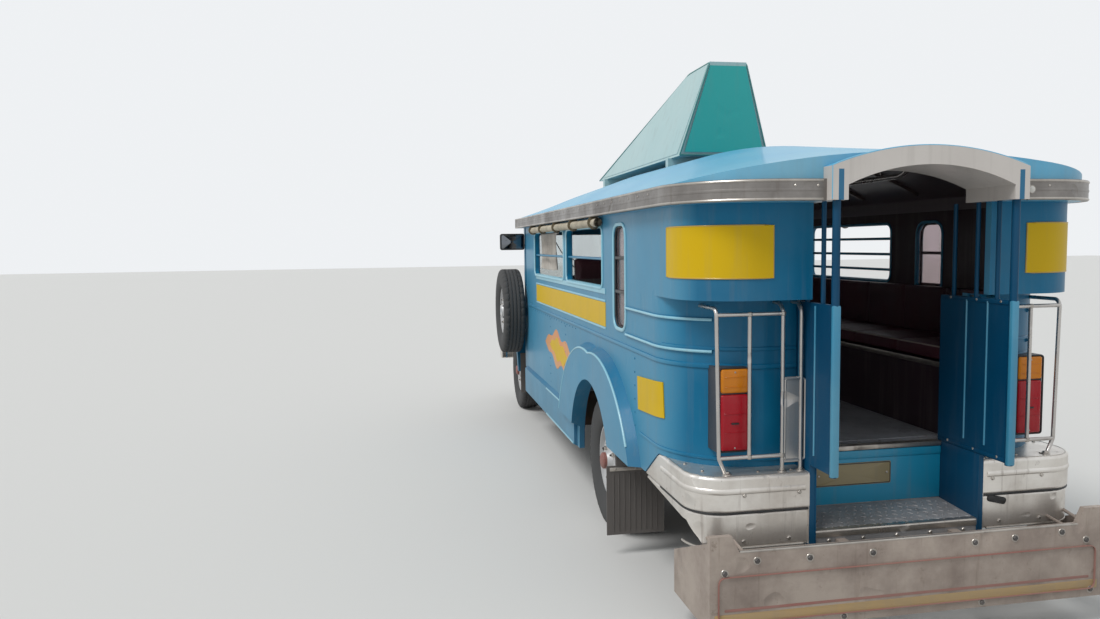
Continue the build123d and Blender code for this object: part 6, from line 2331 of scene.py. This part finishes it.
@dataclass
class FrontEnd:
    """Grille bars, bezels, hood louvres and latches, wipers, lamps and the blank front plate."""

    lamp_y: float = 0.545
    lamp_z: float = 0.96
    hood_x: tuple[float, float] = (4.206, 5.52)
    hood_half: tuple[float, float] = (0.56, 0.43)
    hood_z: tuple[float, float] = (1.244, 1.13)
    latches_at: tuple[float, float] = (4.45, 5.3)

    def build(self) -> None:
        """The face first, then the hood and the screen."""
        make_piece("lamp_bezels", pair(*self.bezels()))
        make_piece("front_fittings", self.fittings())
        make_piece("apron_louvres", self.aprons())
        make_piece("hood_fittings", self.hood(), Body.HOOD)
        make_piece("screen_trim", self.screen())

    def bezels(self) -> list[Form]:
        """Bright ring and moulded rings of a headlamp, with an amber lamp on the fender."""
        x, y, z = float(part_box("headlamps")[1][0]), self.lamp_y, self.lamp_z
        bezel = [(0.0, 0.084), (0.004, 0.0895), (0.014, 0.089), (0.018, 0.084), (0.012, 0.081), (0.0, 0.081)]
        rings = [
            revolved(
                [(0.0, r), (0.002, r + 0.0016), (0.004, r), (0.0, r - 0.001)],
                (x - 0.019 + 0.016 * (0.07 - r) / 0.06, y, z), FRONT, CLEAR, 36,
            )
            for r in (0.03, 0.05, 0.066)
        ]
        spot = (at(5.0), 0.80, 0.849)
        base = [(0.0, 0.0), (0.0, 0.03), (0.01, 0.028), (0.012, 0.0)]
        lens = [(0.01, 0.0), (0.01, 0.026), (0.03, 0.024), (0.042, 0.014), (0.045, 0.0)]
        return [
            revolved(bezel, (x - 0.028, y, z), FRONT, STAINLESS, 40),
            *rings,
            revolved(base, spot, UP, BLACK_TRIM_AND_SHADE, 20),
            revolved(lens, spot, UP, AMBER, 20),
        ]

    def fittings(self) -> list[Form]:
        """Bolts on the bumper, a blank plate low on the grille, surround bolts and upright bars."""
        deck_x = float(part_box("front_bumper")[1][0]) - 0.075
        x = float(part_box("grille")[1][0])
        surround = [row((x - 0.001, -0.4, z), (x - 0.001, 0.4, z), 9) for z in (0.66, 1.1)]
        bars = [
            block((x - 0.02, y - 0.004, 0.72), (x - 0.002, y + 0.004, 1.05), 0.003, STAINLESS)
            for y in np.linspace(-0.3, 0.3, 7)
        ]
        return [
            studs([(deck_x, y, 0.61) for y in (-0.7, -0.42, 0.42, 0.7)], UP, 0.012, 0.006, STAINLESS, 8),
            block((x - 0.003, -0.19, 0.715), (x + 0.003, 0.19, 0.815), 0.002, WHITE),
            studs([(x + 0.002, y, 0.765) for y in (-0.17, 0.17)], FRONT, 0.006, 0.004, STAINLESS, 8),
            studs(np.concatenate(surround), FRONT, 0.006, 0.004, STAINLESS),
            *bars,
        ]

    def along(self, ends: tuple[float, float], d: float) -> float:
        """Value this far along the hood, on a straight line between its two ends."""
        (rear, front), (low, high) = self.hood_x, ends
        return low + (high - low) * (d - rear) / (front - rear)

    def catch(
        self, d: float, reach: float, skin: float, out: float, z: tuple, radius: float, finish: Finish
    ) -> Form:
        """Block on the hood's or apron's side, from a little inside its skin outwards."""
        half = self.along(self.hood_half, d)
        return block((at(d) - reach, half - skin, z[0]), (at(d) + reach, half + out, z[1]), radius, finish)

    def aprons(self) -> list[Form]:
        """Louvres and the lower halves of the latches on the fixed panels below the hood's sides."""
        louvres = [
            self.catch(d, 0.009, 0.006, 0.004, (0.87, 0.95), 0.004, SKIN) for d in np.linspace(4.5, 5.2, 12)
        ]
        latches = [
            self.catch(d, 0.014, 0.005, 0.006, (0.945, 0.985), 0.004, STAINLESS) for d in self.latches_at
        ]
        return pair(*louvres, *latches)

    def hood(self) -> list[Form]:
        """Catches on the hood's sides and a bright strip down its middle, which follows the crown's slope."""
        catches = [
            self.catch(d, 0.01, 0.003, 0.006, (1.008, 1.034), 0.003, STAINLESS) for d in self.latches_at
        ]
        ends = [(at(d), 0.0, self.along(self.hood_z, d)) for d in (4.3, 5.5)]
        return [*pair(*catches), carried(np.linspace(*ends, 12), bar(0.03, 0.007), STAINLESS)]

    def screen(self) -> list[Form]:
        """Rubber bead round each pane and two wipers."""
        low, high = map(np.array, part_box("windshield_glass"))
        x, edge, foot, post = float(high[0]), float(high[1]), float(low[2]), 0.012
        forms = [
            bead(upright(x, y, (foot, float(high[2]))), 0.03, ring(0.007, 8), BLACK_TRIM_AND_SHADE)
            for y in ((post, edge), (-edge, -post))
        ]
        for y in (0.2, -0.62):
            start = np.array((x + 0.012, y, foot + 0.004))
            arm = [start, start + (0.012, 0.16, 0.12), start + (0.006, 0.34, 0.22)]
            blade = [start + (0.002, 0.22, 0.08), start + (0.004, 0.34, 0.22), start + (0.002, 0.42, 0.36)]
            forms += [tube(arm, 0.004, BLACK_TRIM_AND_SHADE, 0.05, 8), tube(blade, 0.0045, BLACK_TRIM_AND_SHADE, 0.05, 8)]
        return forms


@dataclass
class Underbody:
    """Spring bolts, frame rivets, exhaust hangers and shock absorbers."""

    def build(self) -> None:
        """Everything below the floor."""
        make_piece("spring_bolts", pair(*self.springs()))
        make_piece("frame_rivets", pair(*self.rivets()))
        make_piece("exhaust_bands", self.exhaust())
        make_piece("shock_absorbers", pair(*self.shocks()))

    def springs(self) -> list[Form]:
        """Two U-bolts over each spring pack, with their plate."""
        forms, inner, outer = [], 0.346, 0.414
        for d, top in ((1.55, 0.418), (5.1, 0.41)):
            legs = ((inner, top - 0.1), (inner, top + 0.034), (outer, top + 0.034), (outer, top - 0.1))
            for dx in (-0.045, 0.045):
                forms.append(
                    tube([(at(d) + dx, y, z) for y, z in legs], 0.006, EXHAUST, 0.012, 8, (1, 0, 0.1))
                )
            low, high = (at(d) - 0.06, 0.335, top - 0.108), (at(d) + 0.06, 0.425, top - 0.098)
            forms.append(block(low, high, 0.003, FRAME_BLACK))
        return forms

    def rivets(self) -> list[Form]:
        """Rivets along the outside of each rail."""
        places = [(at(0) + d, 0.4155, z) for z in (0.505, 0.585) for d in np.arange(0.5, 5.5, 0.25)]
        return [studs(places, LEFT, 0.007, 0.004, FRAME_BLACK)]

    def exhaust(self) -> list[Form]:
        """Hangers near the ends of the exhaust's silencer, found from its box."""
        low, high = map(np.array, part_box("exhaust"))
        z = (low[2] + high[2]) / 2
        middles = [low[0] + share * (high[0] - low[0]) for share in (0.42, 0.58)]
        return [
            tube([(x, -0.395, z + 0.02), (x, -0.395, 0.482)], 0.006, FRAME_BLACK, sides=8, lift=(1, 0, 0.1))
            for x in middles
        ]

    def shocks(self) -> list[Form]:
        """Telescopic absorbers from the axles to the rails."""
        forms = []
        for d, lean in ((1.62, 0.14), (5.02, -0.14)):
            foot = np.array((at(d), 0.47, 0.36))
            top = foot + (lean, -0.03, 0.21)
            run = float(np.linalg.norm(top - foot))
            profile = [
                (0.0, 0.0), (0.0, 0.012), (0.02, 0.024), (0.55 * run, 0.025), (0.56 * run, 0.029),
                (0.93 * run, 0.029), (0.94 * run, 0.012), (run, 0.01), (run, 0.0),
            ]
            forms.append(revolved(profile, foot, unit(top - foot), FRAME_BLACK, 18))
        return forms


@dataclass
class SmallParts:
    """Mirror faces, mud-flap fittings, guard collars and spare-wheel clamp."""

    def build(self) -> None:
        """Each small set."""
        make_piece("mirror_faces", pair(*self.mirrors()))
        make_piece("flap_fittings", self.flaps())
        make_piece("guard_collars", pair(*self.collars()))
        make_piece("spare_clamp", self.clamp())

    def mirrors(self) -> list[Form]:
        """Silvered plate in a dark rim on the rear face of each mirror head."""
        x, y, z = float(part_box("mirrors")[0][0]), 0.985, 1.63
        plate = disc_plate(oblong(0.19, 0.12, 0.016), (x, y, z), RIGHT, UP, 0.002, SILVERED)
        rim = upright(x, (y - 0.098, y + 0.098), (z - 0.063, z + 0.063))
        return [plate, bead(rim, 0.018, ring(0.0045, 8), BLACK_TRIM_AND_SHADE)]

    def flaps(self) -> list[Form]:
        """Holding strips and bolts along the tops of the rear flaps, and ribs on the rubber."""
        forms, x = [], at(1.0596)
        for side in (1, -1):
            forms.append(
                block((x - 0.003, side * 0.66, 0.443), (x + 0.001, side * 0.93, 0.463), 0.002, STAINLESS)
            )
            bolts = [(x - 0.003, side * y, 0.453) for y in (0.69, 0.79, 0.9)]
            forms.append(studs(bolts, REAR, 0.007, 0.004, STAINLESS))
            for y in np.linspace(0.68, 0.91, 9):
                low, high = (x - 0.0022, side * y - 0.0025, 0.13), (x + 0.001, side * y + 0.0025, 0.43)
                forms.append(block(low, high, 0.001, FLAP, 2))
        return forms

    def collars(self) -> list[Form]:
        """Flange at the foot of each guard tube, clips at the crossings and the small upright hoop."""
        x, foot_z, tube_y = at(0.05), 0.6905, (0.622, 0.483)
        flange = [(0.0, 0.0), (0.0, 0.019), (0.003, 0.018), (0.006, 0.011), (0.012, 0.0095), (0.013, 0.0)]
        clip = [(-0.009, 0.0085), (-0.007, 0.0108), (0.007, 0.0108), (0.009, 0.0085)]
        hoop = bead(upright(x, (0.388, 0.472), (0.735, 1.058)), 0.008, ring(0.005, 8), TUBE, steps=4)
        return [
            *(revolved(flange, (x, y, foot_z), UP, STAINLESS, 16) for y in (0.714, 0.483, 0.405)),
            *(revolved(clip, (x, y, z), UP, STAINLESS, 14) for y in tube_y for z in (0.755, 1.32)),
            hoop,
        ]

    def clamp(self) -> list[Form]:
        """Wing bolt and plate that hold the spare wheel."""
        x, y = at(4.35), 1.02
        plate = block((x - 0.11, y - 0.004, 1.0), (x + 0.11, y + 0.003, 1.04), 0.003, FRAME_BLACK)
        return [plate, studs([(x, y + 0.003, 1.02)], LEFT, 0.02, 0.022, STAINLESS)]


ASSEMBLIES: tuple[Callable, ...] = (
    *(lambda w=w: RoadWheel(w) for w in Wheel),
    BodyTrim, WindowFrames, RearEntry, BumperTrim, BoardTrim, TailLamps, RoofTrim, RoofSign,
    CurtainRolls, Seats, Cab, FrontEnd, Underbody, SmallParts,
)


def main() -> None:
    """Load the frame, set up the studio, finish the nodes and build every sub-assembly in order."""
    logging.basicConfig(level=logging.INFO, format="%(message)s")
    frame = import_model()
    studio = Studio()
    studio.camera()
    studio.light()
    studio.floor()
    bpy.context.scene.view_settings.view_transform = "Standard"
    dress_nodes(frame)
    for maker in ASSEMBLIES:
        built = maker()
        built.build()
        log.info("built %s", type(built).__name__)


if __name__ == "__main__":
    main()
